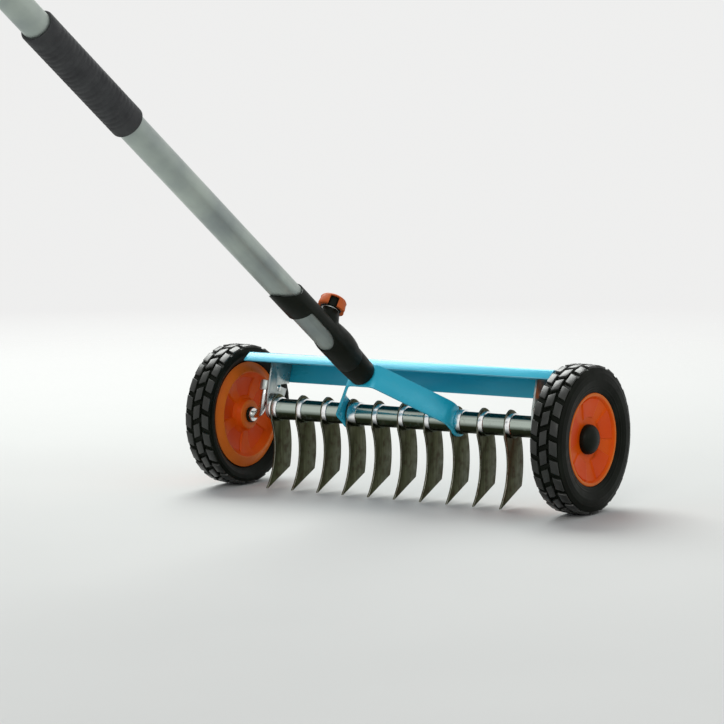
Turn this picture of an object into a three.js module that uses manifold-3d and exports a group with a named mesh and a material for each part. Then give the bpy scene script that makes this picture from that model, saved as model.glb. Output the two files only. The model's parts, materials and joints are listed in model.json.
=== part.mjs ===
// A wheeled lawn scarifier: knives on a tube between two wheels, pulled by a long pole.
// Millimetres, +Z up. The knife tube runs along X and the user stands towards -Y.

import * as THREE from 'three';
import { mergeVertices } from 'three/addons/utils/BufferGeometryUtils.js';
import Module from 'manifold-3d';

const wasm = await Module();
wasm.setup();

// Fits shared by all pieces
const FIT = 0.3; // gap where a piece rests or runs in another
const STACK_GAP = 0.1; // gap between pieces drawn tight by a rivet or a ring
const OVERRUN = 3; // how far a cutter passes the face that it cuts
const MERGE_DISTANCE = 0.0001; // vertices closer than this are one

// Wheels
const TYRE_SIDES = 48;
const RIM_SIDES = 32;
const WHEEL_GAP = 7.5; // between the channel's end and the tyre's widest tread
const TYRE_RADIUS = 75;
const TYRE_WIDTH = 33;
const TREAD_WIDTH = 30;
const TREAD_MARGIN = 0.7; // flat of the carcass beside the outer rows
const TREAD_DEPTH = 3.4;
const TREAD_ROOT = 1.5; // how deep a block is rooted in the carcass
const TREAD_ROWS = 3;
const TREAD_BLOCKS = 24; // half as many as the tyre's sides, so that each block sits on two facets
const TREAD_GROOVE = 2; // between the rows
const TREAD_GAP = 5.2; // between the blocks of a row
const TREAD_LEAN = 0.4; // lean of a block's ends, as a tangent
const TREAD_CROWN = THREE.MathUtils.degToRad(7);
const SIDEWALL_BULGE = 2.6;
const SIDEWALL_STEPS = 3;
const RIM_FACE_RADIUS = 46.3;
const RIM_LIP_RADIUS = 56.3;
const RIM_FACE_REACH = 14; // from the middle plane to the outer lip
const RIM_LIP_REACH = 15; // from the middle plane to the inner lip
const RIM_WALL = 2.6;
const RIM_LIP_WIDTH = 2.4;
const DISH_EDGE_RADIUS = 41.5;
const DISH_EDGE_REACH = 10.4;
const DISH_FLOOR_RADIUS = 17.5;
const DISH_FLOOR_REACH = 6.2;
const BARREL_STEP_REACH = 11;
const BARREL_STEP_WIDTH = 2.2;
const LOBE_COUNT = 5;
const LOBE_HEIGHT = 1.3;
const LOBE_ANGLE = THREE.MathUtils.degToRad(48);
const LOBE_MARGIN = 2;
const LOBE_STEPS = 2;
const HUB_RADIUS = 13;
const HUB_ROOT_RADIUS = 15.5;
const HUB_INNER_REACH = 16;
const HUB_OUTER_REACH = 10;
const CAP_RADIUS = 15;
const CAP_REACH = 18.2;
const CAP_SHOULDER = 4; // height of the domed top
const CAP_WALL = 1.6;
const CAP_SIDES = 20;
const CAP_DOME_STEPS = 3;
const BUSH_RADIUS = 6.5;
const BUSH_FLANGE_RADIUS = 8.4;
const BUSH_FLANGE = 2;
const BUSH_SIDES = 12;
const AXLE_RING_RADIUS = 8;
const AXLE_RING_THICKNESS = 1.4;
const AXLE_TIP = 3; // the axle's end beyond the hub

// Cranked axle rods and their clamps, in the frame's own axes
const ROD_RADIUS = 4;
const ROD_SIDES = 8;
const ROD_BEND_STEPS = 8;
const ROD_COLLAR_RADIUS = 7;
const ROD_COLLAR = 2;
const ROD_STRAIGHT_END = 19; // from the tyre's middle plane to the start of the bend
const ROD_BEND_LEAD = 12;
const ROD_BEND_RISE = 14;
const AXLE_BACK = 5.5; // wheel axis behind the knife tube
const AXLE_DROP = 7.4; // wheel axis under the knife tube
const CRANK_FORWARD = 8.5; // upright leg in front of the knife tube
const CRANK_FOOT = 14; // where the upright leg starts
const CLAMP_WALL = 2.2;
const CLAMP_BOTTOM = 17.5;
const CLAMP_HEIGHT = 10;
const CLAMP_STRAP_END = 8;
const CLAMP_RIVET_BACK = 2.6;
const CLAMP_SIDES = 12;

// Side plates and channel, in the frame's own axes
const FRAME_LEAN = THREE.MathUtils.degToRad(18); // the frame leans back over the knives
const PLATE_THICKNESS = 2;
const PLATE_END_RADIUS = 12;
const PLATE_FRONT = 16.3;
const PLATE_REAR = 19.3;
const PLATE_TOP = 53;
const PLATE_WAIST_HEIGHT = 14;
const PLATE_WAIST_FRONT = 15;
const PLATE_WAIST_REAR = 14.5;
const PLATE_NOTCH_BOTTOM = 24.5;
const PLATE_NOTCH_TOP = 31;
const PLATE_NOTCH_DEPTH = 14;
const PLATE_NOTCH_WIDTH = 2.6;
const PLATE_ARC_STEPS = 10;
const PLATE_CORNER = 3; // slanted corner inside the channel's bend
const FLANGE_WIDTH = 26;
const FLANGE_SETBACK = 2; // the flange starts this much behind the plate's front edge
const CHANNEL_OVERHANG = 23.25; // past the outer face of each side plate
const CHANNEL_THICKNESS = 1.6;
const CHANNEL_BEND = 2.4;
const CHANNEL_BEND_STEPS = 3;
const CHANNEL_LIP_FRONT = 33;
const CHANNEL_LIP_BOTTOM = 43.5;
const CHANNEL_EDGE_FRONT = 25;
const CHANNEL_REAR_BOTTOM = 32.5;
const RIVET_SIDES = 8;
const RIVET_RADIUS = 2.3;
const RIVET_HEAD_RADIUS = 4.2;
const RIVET_HEAD = 2.2;
const RIVET_TAIL_RADIUS = 3.5;
const RIVET_TAIL = 1.8;
const FRONT_RIVET_INSET = 9; // from the plate's inner face
const FRONT_RIVET_FORWARD = 10; // in front of the knife tube
const REAR_RIVET_INSET = 20;
const REAR_RIVET_BACK = 3;

// Knife tube, spacers and knives
const KNIFE_COUNT = 10;
const KNIFE_PITCH = 32;
const KNIFE_THICKNESS = 2;
const KNIFE_HEAD_RADIUS = 16;
const KNIFE_FRONT_BOW = 70; // radius of the hollow front edge
const KNIFE_FRONT_APEX = 6.5; // nearest that the front edge comes to the tube's middle plane
const KNIFE_REAR_BOW = 95;
const KNIFE_REAR_APEX = 23.5;
const KNIFE_APEX_DROP = 38; // depth at which both edges lie furthest back
const KNIFE_NECK_DROP = 11;
const KNIFE_HEEL_DROP = 64; // where the rear edge turns in to the tip
const KNIFE_GROUND_GAP = 1.5;
const KNIFE_TIP_WIDTH = 2;
const KNIFE_EDGE_STEPS = 4;
const KNIFE_HEAD_STEPS = 9;
const MIDDLE_KNIFE_INDEX = 5; // the yoke is centred on this knife
const EAR_KNIFE_COUNT = 2; // knives from the middle one to the one beside each ear
const COLLAR_LENGTH = 3.5;
const TUBE_SIDES = 12;
const SHAFT_RADIUS = 8;
const SHAFT_WALL = 1.5;
const SHAFT_OVERHANG = 1.7;
const SHAFT_RING_RADIUS = 11;
const SHAFT_RING_THICKNESS = 1.6;
const SPACER_RADIUS = 11;
const SPACER_FLANGE_RADIUS = 12.6;
const SPACER_FLANGE = 5; // length of the flange that a knife leans on
const WIDE_FLANGE = 10; // the same beside the yoke's ears

// Yoke, in the handle's own axes: across X, up from the pole's axis, and along the pole
const POLE_ANGLE = THREE.MathUtils.degToRad(35.8); // pole above the ground at rest
const YOKE_THICKNESS = 3;
const YOKE_TOP = 11; // upper edge of the strip, over the pole's axis
const YOKE_BOTTOM = 13.5; // lower edge of the strip, under the pole's axis
const YOKE_WEB_ALONG = 89; // from the knife tube's axis to the web
const YOKE_WEB_HALF = 14.5;
const YOKE_BEND = 5;
const YOKE_BEND_STEPS = 3;
const EAR_SETOUT = 3; // from a knife's middle plane to that of the ear outside it
const EAR_BEND_ALONG = 20.5; // where an arm turns into its ear
const EAR_HORN_ALONG = 10.4; // end of the ear's upper horn
const EAR_CLEARANCE = 0.5; // round the spacers
const HOOK_RADIUS = 15; // outside of the hook under and behind the tube
const HOOK_END = THREE.MathUtils.degToRad(314); // turned from straight up over the pole's axis
const HOOK_STEPS = 10;
const WEB_HOLE_RADIUS = 3.4;

// Socket, sleeve, pole and lock, along the pole from the knife tube's axis
const POLE_SIDES = 20;
const SOCKET_FOOT_RADIUS = 13.2;
const SOCKET_FOOT_CHAMFER = 1.2;
const SOCKET_TOP_RADIUS = 14.3;
const SOCKET_LENGTH = 29;
const SHANK_RADIUS = 12;
const SHANK_LENGTH = 102;
const SHANK_NOSE = 6;
const SHANK_NOSE_DRAW = 3;
const BOLT_RADIUS = 3;
const BOLT_REACH = 36;
const BOLT_HEAD_RADIUS = 5.6;
const BOLT_HEAD_HEIGHT = 4;
const HEX_SIDES = 6;
const POLE_RADIUS = 13.5;
const POLE_WALL = 1.2;
const POLE_LENGTH = 1300;
const SLEEVE_RADIUS = 15;
const SLEEVE_FOOT_RADIUS = 14.4;
const SLEEVE_FLARE = 26; // length over which the sleeve reaches its full radius
const SLEEVE_LENGTH = 152;
const SLEEVE_SEAT = 8; // solid foot under the pole
const SLEEVE_MOUTH_SLOPE = 30; // how much longer the sleeve is underneath than on top
const SLEEVE_MOUTH_DIP = 10;
const WINDOW_START = 33; // from the sleeve's foot
const WINDOW_LENGTH = 62;
const WINDOW_HALF_ANGLE = THREE.MathUtils.degToRad(75);
const WINDOW_CORNER = 9;
const BOSS_ALONG = 56; // from the sleeve's foot
const BOSS_FOOT_RADIUS = 12;
const BOSS_TOP_RADIUS = 10;
const BOSS_TOP = 23;
const BOSS_SIDES = 16;
const SCREW_RADIUS = 3;
const SCREW_HOLE_RADIUS = 3.5;
const SCREW_LENGTH = 20;
const WASHER_RADIUS = 9;
const WASHER_THICKNESS = 1.2;
const CORE_RADIUS = 10.6;
const CORE_HEIGHT = 10;
const KNOB_RADIUS = 14.6;
const KNOB_WAIST_RADIUS = 13.4;
const KNOB_TOP_RADIUS = 8.5;
const KNOB_HEIGHT = 14.5;
const KNOB_SHOULDER = 4.5;
const KNOB_SIDES = 20;
const POCKET_COUNT = 4;
const POCKET_WIDTH = 9;
const POCKET_HEIGHT = 8;
const POCKET_BOTTOM = 1.6;
const MID_GRIP_ALONG = 416; // from the pole's lower end
const MID_GRIP_LENGTH = 150;
const MID_GRIP_RADIUS = 16.6;
const MID_GRIP_EDGE_RADIUS = 15.5;
const GRIP_LENGTH = 140;
const GRIP_RADIUS = 17;
const GRIP_EDGE_RADIUS = 15.4;
const GRIP_GROOVES = 2;
const GRIP_GROOVE_DEPTH = 0.9;
const GRIP_GROOVE_WIDTH = 3;
const END_CAP_RADIUS = 16;
const END_CAP_HEIGHT = 9;
const END_CAP_PLUG = 18;
const END_CAP_STEPS = 3;

// Places worked out from the sizes above
const PLATE_SPAN = COLLAR_LENGTH + KNIFE_COUNT * KNIFE_PITCH; // between the side plates
const PLATE_INNER = PLATE_SPAN / 2;
const PLATE_OUTER = PLATE_INNER + PLATE_THICKNESS;
const CHANNEL_END = PLATE_OUTER + CHANNEL_OVERHANG;
const WHEEL_MIDDLE = CHANNEL_END + WHEEL_GAP + TYRE_WIDTH / 2; // from the tool's middle plane
const CLAMP_RADIUS = ROD_RADIUS + FIT + CLAMP_WALL;
const CRANK_OUT = PLATE_OUTER + FIT + CLAMP_RADIUS;
const AXLE_HEIGHT_UNDER_TUBE = AXLE_BACK * Math.sin(FRAME_LEAN) + AXLE_DROP * Math.cos(FRAME_LEAN);
const TUBE_HEIGHT = TYRE_RADIUS + AXLE_HEIGHT_UNDER_TUBE;
const YOKE_MIDDLE = knifePlace(MIDDLE_KNIFE_INDEX);
const EAR_ACROSS = EAR_KNIFE_COUNT * KNIFE_PITCH + EAR_SETOUT; // to the ear's middle plane
const SOCKET_FOOT = YOKE_WEB_ALONG + YOKE_THICKNESS / 2 + FIT;
const SOCKET_SHOULDER = SOCKET_FOOT + SOCKET_LENGTH;
const SLEEVE_FOOT = SOCKET_SHOULDER + FIT;
const POLE_FOOT = SLEEVE_FOOT + SLEEVE_SEAT + FIT;
const BOSS_PLACE = SLEEVE_FOOT + BOSS_ALONG;

// Finishes
const RUBBER = { color: 0x1b1e1b, roughness: 0.85, metalness: 0 };
const ORANGE_PLASTIC = { color: 0xd84a06, roughness: 0.5, metalness: 0 };
const KNOB_ORANGE = { color: 0xc85a32, roughness: 0.55, metalness: 0 };
const BLACK_PLASTIC = { color: 0x20241f, roughness: 0.6, metalness: 0 };
const GRIP_RUBBER = { color: 0x23262a, roughness: 0.9, metalness: 0 };
const BLUE_PAINT = { color: 0x2f97ba, roughness: 0.35, metalness: 0.2 };
const ZINC = { color: 0xa9b8b8, roughness: 0.3, metalness: 0.9 };
const BRIGHT_STEEL = { color: 0xc4ccca, roughness: 0.18, metalness: 1 };
const KNIFE_STEEL = { color: 0x5d6654, roughness: 0.45, metalness: 0.9 };
const ALUMINIUM = { color: 0x8f9791, roughness: 0.5, metalness: 0.8 };

// Middle plane of a knife, counted from the -X side
function knifePlace(index) {
  return -PLATE_INNER + COLLAR_LENGTH + KNIFE_THICKNESS / 2 + index * KNIFE_PITCH;
}

// Volume inside a closed list of triangles, negative when the faces point inwards
function signedVolume(places, corners) {
  const corner = [new THREE.Vector3(), new THREE.Vector3(), new THREE.Vector3()];
  let volume = 0;
  for (let i = 0; i < corners.length; i += corner.length) {
    corner.forEach((point, k) => point.fromArray(places, corners[i + k] * corner.length));
    volume += corner[0].dot(corner[1].cross(corner[2]));
  }
  return volume;
}

// A closed geometry as a solid whose faces point outwards
function solidOf(geometry) {
  const bare = new THREE.BufferGeometry();
  bare.setAttribute('position', geometry.getAttribute('position'));
  bare.setIndex(geometry.getIndex());
  const merged = mergeVertices(bare, MERGE_DISTANCE);
  const places = Float32Array.from(merged.getAttribute('position').array);
  const all = merged.getIndex().array;
  const corners = [];
  for (let i = 0; i < all.length; i += 3) {
    const [a, b, c] = [all[i], all[i + 1], all[i + 2]];
    if (a !== b && b !== c && c !== a) corners.push(a, b, c);
  }
  if (signedVolume(places, corners) < 0) corners.reverse();
  const mesh = new wasm.Mesh({ numProp: 3, vertProperties: places, triVerts: Uint32Array.from(corners) });
  return new wasm.Manifold(mesh);
}

// A solid as a geometry with its own corners
function geometryOf(solid) {
  const mesh = solid.getMesh();
  const geometry = new THREE.BufferGeometry();
  geometry.setAttribute('position', new THREE.BufferAttribute(new Float32Array(mesh.vertProperties), 3));
  geometry.setIndex(new THREE.BufferAttribute(new Uint32Array(mesh.triVerts), 1));
  geometry.computeVertexNormals();
  return geometry;
}

function join(first, ...others) {
  return others.reduce((whole, other) => whole.add(other), first);
}

function cut(base, ...tools) {
  return tools.reduce((rest, tool) => rest.subtract(tool), base);
}

// Profile points of an elliptical arc, as [place along the axis, radius]
function arcPoints(along, radius, alongReach, radiusReach, from, to, steps) {
  return Array.from({ length: steps + 1 }, (_, i) => {
    const angle = from + ((to - from) * i) / steps;
    return [along + alongReach * Math.sin(angle), radius + radiusReach * Math.cos(angle)];
  });
}

// Lathe geometry of a closed profile of [place along the axis, radius], still about Y
function lathe(profile, sides) {
  const points = profile.map(([along, radius]) => new THREE.Vector2(Math.max(radius, 0), along));
  return new THREE.LatheGeometry([...points, points[0].clone()], sides);
}

function turnedAboutX(profile, sides) {
  return solidOf(lathe(profile, sides).rotateZ(-Math.PI / 2));
}

function turnedAboutZ(profile, sides) {
  return solidOf(lathe(profile, sides).rotateX(Math.PI / 2));
}

// Plain ring or tube about an axis, from start to end
function ringProfile(start, end, outer, inner) {
  return [[start, inner], [start, outer], [end, outer], [end, inner]];
}

function discProfile(start, end, radius) {
  return ringProfile(start, end, radius, 0);
}

function shapeOf(points) {
  return new THREE.Shape(points.map(([across, up]) => new THREE.Vector2(across, up)));
}

function roundHole(across, up, radius, sides) {
  const points = Array.from({ length: sides }, (_, i) => {
    const angle = (2 * Math.PI * i) / sides;
    return new THREE.Vector2(across + radius * Math.cos(angle), up + radius * Math.sin(angle));
  });
  return new THREE.Path(points);
}

// Sweeps a shape straight. The basis says which axes its across, up and sweep directions take.
function swept(shape, start, end, basis) {
  const geometry = new THREE.ExtrudeGeometry(shape, { depth: end - start, bevelEnabled: false });
  geometry.translate(0, 0, start);
  geometry.applyMatrix4(basis);
  return solidOf(geometry);
}

const X = new THREE.Vector3(1, 0, 0);
const Y = new THREE.Vector3(0, 1, 0);
const Z = new THREE.Vector3(0, 0, 1);
const ALONG_X = new THREE.Matrix4().makeBasis(Y, Z, X); // outline in Y and Z
const ALONG_Y = new THREE.Matrix4().makeBasis(Z, X, Y); // outline in Z and X
const ALONG_Z = new THREE.Matrix4().makeBasis(X, Y, Z); // outline in X and Y

// Centre line of a bent strip with its corners rounded
function roundedLine(corners, bend, steps) {
  const line = [new THREE.Vector2(...corners[0])];
  for (let i = 1; i < corners.length - 1; i += 1) {
    const corner = new THREE.Vector2(...corners[i]);
    const before = new THREE.Vector2(...corners[i - 1]).sub(corner).setLength(bend);
    const after = new THREE.Vector2(...corners[i + 1]).sub(corner).setLength(bend);
    const [start, end] = [corner.clone().add(before), corner.clone().add(after)];
    const curve = new THREE.QuadraticBezierCurve(start, corner, end);
    line.push(...curve.getPoints(steps));
  }
  line.push(new THREE.Vector2(...corners[corners.length - 1]));
  return line;
}

// Outline of a sheet of even thickness that follows a centre line
function stripShape(line, thickness) {
  const left = [];
  const right = [];
  line.forEach((point, i) => {
    const back = line[Math.max(i - 1, 0)];
    const next = line[Math.min(i + 1, line.length - 1)];
    const entering = (i > 0 ? point.clone().sub(back) : next.clone().sub(point)).normalize();
    const leaving = (i < line.length - 1 ? next.clone().sub(point) : entering.clone()).normalize();
    const middle = entering.clone().add(leaving).normalize();
    const side = new THREE.Vector2(-middle.y, middle.x);
    const reach = thickness / 2 / middle.dot(entering);
    left.push(point.clone().addScaledVector(side, reach));
    right.push(point.clone().addScaledVector(side, -reach));
  });
  return new THREE.Shape([...left, ...right.reverse()]);
}

function circlePoints(radius, from, to, steps) {
  return Array.from({ length: steps + 1 }, (_, i) => {
    const angle = from + ((to - from) * i) / steps;
    return [radius * Math.cos(angle), radius * Math.sin(angle)];
  });
}

// Wheels, built with the outer side towards +X and the middle plane at X = 0

// Outer radius of the rim's tapered barrel
function rimSeat(along) {
  const share = (RIM_FACE_REACH - along) / (RIM_FACE_REACH + RIM_LIP_REACH);
  return RIM_FACE_RADIUS + (RIM_LIP_RADIUS - RIM_FACE_RADIUS) * share;
}

// One bulged side of the tyre, from its bead to its shoulder
function sidewall(beadAlong, side) {
  const bead = rimSeat(beadAlong) + FIT;
  const floor = TYRE_RADIUS - TREAD_DEPTH;
  const shoulder = side * (TREAD_WIDTH / 2 + TREAD_MARGIN);
  return Array.from({ length: SIDEWALL_STEPS + 1 }, (_, i) => {
    const share = i / SIDEWALL_STEPS;
    const bulge = side * SIDEWALL_BULGE * Math.sin(Math.PI * share);
    const along = THREE.MathUtils.lerp(beadAlong, shoulder, share) + bulge;
    return [along, THREE.MathUtils.lerp(bead, floor, share)];
  });
}

// One leaning tread block, rooted in the carcass
function treadBlock(row, index) {
  const pitch = (2 * Math.PI) / TREAD_BLOCKS;
  const length = TYRE_RADIUS * pitch - TREAD_GAP;
  const width = (TREAD_WIDTH + TREAD_GROOVE) / TREAD_ROWS - TREAD_GROOVE;
  const lean = ((row % 2 ? 1 : -1) * TREAD_LEAN * width) / 2;
  const corners = [
    [-width / 2, -length / 2 - lean],
    [width / 2, -length / 2 + lean],
    [width / 2, length / 2 + lean],
    [-width / 2, length / 2 - lean],
  ];
  const rowsOut = row - (TREAD_ROWS - 1) / 2;
  const floor = TYRE_RADIUS - TREAD_DEPTH - TREAD_ROOT;
  const tilt = rowsOut * TREAD_CROWN;
  const crest = Math.sqrt(TYRE_RADIUS ** 2 - (length / 2 + Math.abs(lean)) ** 2);
  const depth = crest - (Math.sin(Math.abs(tilt)) * width) / 2 - floor;
  const geometry = new THREE.ExtrudeGeometry(shapeOf(corners), { depth, bevelEnabled: false });
  geometry.rotateY(tilt);
  geometry.translate(rowsOut * (width + TREAD_GROOVE), 0, floor);
  geometry.rotateX((index + (row % 2) / 2) * pitch);
  return solidOf(geometry);
}

function tyre() {
  const outer = sidewall(RIM_FACE_REACH - FIT, 1);
  const inner = sidewall(-RIM_LIP_REACH + FIT, -1);
  const carcass = turnedAboutX([...outer, ...inner.reverse()], TYRE_SIDES);
  const blocks = [];
  for (let row = 0; row < TREAD_ROWS; row += 1) {
    for (let index = 0; index < TREAD_BLOCKS; index += 1) blocks.push(treadBlock(row, index));
  }
  return join(carcass, ...blocks);
}

// Raised lobes on the outer dish: a conical ring kept only inside wedges
function rimLobes() {
  const ring = turnedAboutX([
    [DISH_FLOOR_REACH - RIM_WALL / 2, DISH_FLOOR_RADIUS + LOBE_MARGIN],
    [DISH_FLOOR_REACH + LOBE_HEIGHT, DISH_FLOOR_RADIUS + LOBE_MARGIN],
    [DISH_EDGE_REACH + LOBE_HEIGHT, DISH_EDGE_RADIUS - LOBE_MARGIN],
    [DISH_EDGE_REACH - RIM_WALL / 2, DISH_EDGE_RADIUS - LOBE_MARGIN],
  ], RIM_SIDES);
  const reach = DISH_EDGE_RADIUS / Math.cos(LOBE_ANGLE / 2 / LOBE_STEPS);
  const wedges = Array.from({ length: LOBE_COUNT }, (_, i) => {
    const middle = (2 * Math.PI * i) / LOBE_COUNT + Math.PI / 2;
    const rim = circlePoints(reach, middle - LOBE_ANGLE / 2, middle + LOBE_ANGLE / 2, LOBE_STEPS);
    return swept(shapeOf([[0, 0], ...rim]), 0, RIM_FACE_REACH, ALONG_X);
  });
  return ring.intersect(join(...wedges));
}

function rim() {
  const bore = BUSH_RADIUS + STACK_GAP;
  const profile = [
    [-HUB_INNER_REACH, bore],
    [HUB_OUTER_REACH, bore],
    [HUB_OUTER_REACH, HUB_RADIUS],
    [DISH_FLOOR_REACH, HUB_RADIUS],
    [DISH_FLOOR_REACH, DISH_FLOOR_RADIUS],
    [DISH_EDGE_REACH, DISH_EDGE_RADIUS],
    [RIM_FACE_REACH, RIM_FACE_RADIUS - RIM_LIP_WIDTH],
    [RIM_FACE_REACH, RIM_FACE_RADIUS],
    [-RIM_LIP_REACH, RIM_LIP_RADIUS],
    [-RIM_LIP_REACH, RIM_LIP_RADIUS - RIM_LIP_WIDTH],
    [-BARREL_STEP_REACH, rimSeat(-BARREL_STEP_REACH) - RIM_WALL],
    [-BARREL_STEP_REACH, rimSeat(-BARREL_STEP_REACH) - RIM_WALL - BARREL_STEP_WIDTH],
    [DISH_EDGE_REACH - RIM_WALL, DISH_EDGE_RADIUS - RIM_WALL / 2],
    [DISH_FLOOR_REACH - RIM_WALL, HUB_ROOT_RADIUS],
    [-HUB_INNER_REACH, HUB_RADIUS],
  ];
  return join(turnedAboutX(profile, RIM_SIDES), rimLobes());
}

function hubCap() {
  const shoulder = CAP_REACH - CAP_SHOULDER;
  const inner = HUB_RADIUS + FIT;
  const dome = arcPoints(shoulder, 0, CAP_SHOULDER, CAP_RADIUS, 0, Math.PI / 2, CAP_DOME_STEPS);
  const roof = arcPoints(shoulder - CAP_WALL, 0, CAP_SHOULDER, inner, Math.PI / 2, 0, CAP_DOME_STEPS);
  const brim = DISH_FLOOR_REACH + FIT;
  return turnedAboutX([[brim, inner], [brim, CAP_RADIUS], ...dome, ...roof], CAP_SIDES);
}

function wheelBush() {
  const seat = -HUB_INNER_REACH - STACK_GAP;
  const bore = ROD_RADIUS + FIT;
  const profile = [
    [seat - BUSH_FLANGE, bore],
    [seat - BUSH_FLANGE, BUSH_FLANGE_RADIUS],
    [seat, BUSH_FLANGE_RADIUS],
    [seat, BUSH_RADIUS],
    [HUB_OUTER_REACH, BUSH_RADIUS],
    [HUB_OUTER_REACH, bore],
  ];
  return turnedAboutX(profile, BUSH_SIDES);
}

// Push-on ring that keeps the wheel on its axle
function axleRing() {
  const start = HUB_OUTER_REACH + FIT;
  const profile = ringProfile(start, start + AXLE_RING_THICKNESS, AXLE_RING_RADIUS, ROD_RADIUS + FIT / 2);
  return turnedAboutX(profile, BUSH_SIDES);
}

// Cranked rod: the wheel's axle, a swept bend, and an upright leg held by the clamp
function axleRod() {
  const middle = WHEEL_MIDDLE;
  const tip = new THREE.Vector3(middle + HUB_OUTER_REACH + AXLE_TIP, AXLE_BACK, -AXLE_DROP);
  const bendStart = new THREE.Vector3(middle - ROD_STRAIGHT_END, AXLE_BACK, -AXLE_DROP);
  const foot = new THREE.Vector3(CRANK_OUT, -CRANK_FORWARD, CRANK_FOOT);
  const top = new THREE.Vector3(CRANK_OUT, -CRANK_FORWARD, CLAMP_BOTTOM + CLAMP_HEIGHT);
  const lead = bendStart.clone().addScaledVector(X, -ROD_BEND_LEAD);
  const rise = foot.clone().addScaledVector(Z, -ROD_BEND_RISE);
  const extrudePath = new THREE.CubicBezierCurve3(bendStart, lead, rise, foot);
  const section = shapeOf(circlePoints(ROD_RADIUS, 0, 2 * Math.PI, ROD_SIDES).slice(1));
  const straight = turnedAboutX(discProfile(bendStart.x, tip.x, ROD_RADIUS), ROD_SIDES)
    .translate([0, AXLE_BACK, -AXLE_DROP]);
  const bend = solidOf(new THREE.ExtrudeGeometry(section, { steps: ROD_BEND_STEPS, extrudePath }));
  const leg = turnedAboutZ(discProfile(foot.z, top.z, ROD_RADIUS), ROD_SIDES).translate([foot.x, foot.y, 0]);
  const collarEnd = middle - HUB_INNER_REACH - BUSH_FLANGE - STACK_GAP - FIT;
  const collar = turnedAboutX(discProfile(collarEnd - ROD_COLLAR, collarEnd, ROD_COLLAR_RADIUS), BUSH_SIDES)
    .translate([0, AXLE_BACK, -AXLE_DROP]);
  return join(straight, bend, leg, collar);
}

// Strap looped round the rod's leg and riveted to the side plate
function axleClamp() {
  const loop = shapeOf(circlePoints(CLAMP_RADIUS, 0, 2 * Math.PI, CLAMP_SIDES).slice(1));
  const face = PLATE_OUTER + FIT;
  const strap = shapeOf([
    [face, -CRANK_FORWARD],
    [face, CLAMP_STRAP_END],
    [face + CLAMP_WALL, CLAMP_STRAP_END],
    [face + CLAMP_WALL, -CRANK_FORWARD],
  ]);
  const top = CLAMP_BOTTOM + CLAMP_HEIGHT;
  const ring = swept(loop, CLAMP_BOTTOM, top, ALONG_Z).translate([CRANK_OUT, -CRANK_FORWARD, 0]);
  const tail = swept(strap, CLAMP_BOTTOM, top, ALONG_Z);
  const bore = turnedAboutZ(discProfile(CLAMP_BOTTOM - OVERRUN, top + OVERRUN, ROD_RADIUS + FIT), CLAMP_SIDES)
    .translate([CRANK_OUT, -CRANK_FORWARD, 0]);
  return cut(join(ring, tail), bore, clampRivetHole());
}

function clampRivetHole() {
  const start = PLATE_INNER - OVERRUN;
  const end = CRANK_OUT + CLAMP_RADIUS;
  return turnedAboutX(discProfile(start, end, RIVET_RADIUS + FIT), RIVET_SIDES)
    .translate([0, CLAMP_RIVET_BACK, CLAMP_BOTTOM + CLAMP_HEIGHT / 2]);
}

// Rivet profile through a grip of sheets, its head past the far end and its tail under the near one
function rivetProfile(start, end) {
  const tail = start - STACK_GAP;
  const head = end + STACK_GAP;
  return [
    [tail - RIVET_TAIL, 0],
    [tail - RIVET_TAIL, RIVET_TAIL_RADIUS / 2],
    [tail, RIVET_TAIL_RADIUS],
    [tail, RIVET_RADIUS],
    [head, RIVET_RADIUS],
    [head, RIVET_HEAD_RADIUS],
    [head + RIVET_HEAD, RIVET_HEAD_RADIUS / 2],
    [head + RIVET_HEAD, 0],
  ];
}

function clampRivet() {
  return turnedAboutX(rivetProfile(PLATE_INNER, PLATE_OUTER + FIT + CLAMP_WALL), RIVET_SIDES)
    .translate([0, CLAMP_RIVET_BACK, CLAMP_BOTTOM + CLAMP_HEIGHT / 2]);
}

// Side plate for the +X side: a leaning arm round the tube, a relief notch and a flange for the channel
function sidePlate() {
  const end = circlePoints(PLATE_END_RADIUS, -Math.PI, 0, PLATE_ARC_STEPS);
  const notchFloor = PLATE_REAR - PLATE_NOTCH_DEPTH;
  const outline = shapeOf([
    [-PLATE_FRONT, PLATE_TOP],
    [-PLATE_WAIST_FRONT, PLATE_WAIST_HEIGHT],
    ...end,
    [PLATE_WAIST_REAR, PLATE_WAIST_HEIGHT],
    [PLATE_REAR - PLATE_NOTCH_WIDTH, PLATE_NOTCH_BOTTOM],
    [notchFloor, PLATE_NOTCH_BOTTOM],
    [notchFloor, PLATE_NOTCH_BOTTOM + PLATE_NOTCH_WIDTH],
    [PLATE_REAR, PLATE_NOTCH_TOP],
    [PLATE_REAR, PLATE_TOP - PLATE_CORNER],
    [PLATE_REAR - PLATE_CORNER, PLATE_TOP],
  ]);
  outline.holes.push(roundHole(0, 0, SHAFT_RADIUS + FIT, TUBE_SIDES));
  const web = swept(outline, PLATE_INNER, PLATE_OUTER, ALONG_X);
  const flange = swept(shapeOf([
    [-PLATE_FRONT + FLANGE_SETBACK, PLATE_TOP - PLATE_THICKNESS],
    [PLATE_REAR - PLATE_CORNER, PLATE_TOP - PLATE_THICKNESS],
    [PLATE_REAR - PLATE_CORNER, PLATE_TOP],
    [-PLATE_FRONT + FLANGE_SETBACK, PLATE_TOP],
  ]), PLATE_INNER - FLANGE_WIDTH, PLATE_OUTER, ALONG_X);
  return cut(join(web, flange), clampRivetHole(), ...channelRivetHoles(1));
}

// Places of the two channel rivets on one side, as [across, back]
function rivetPlaces(side) {
  return [
    [side * (PLATE_INNER - FRONT_RIVET_INSET), -FRONT_RIVET_FORWARD],
    [side * (PLATE_INNER - REAR_RIVET_INSET), REAR_RIVET_BACK],
  ];
}

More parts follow.
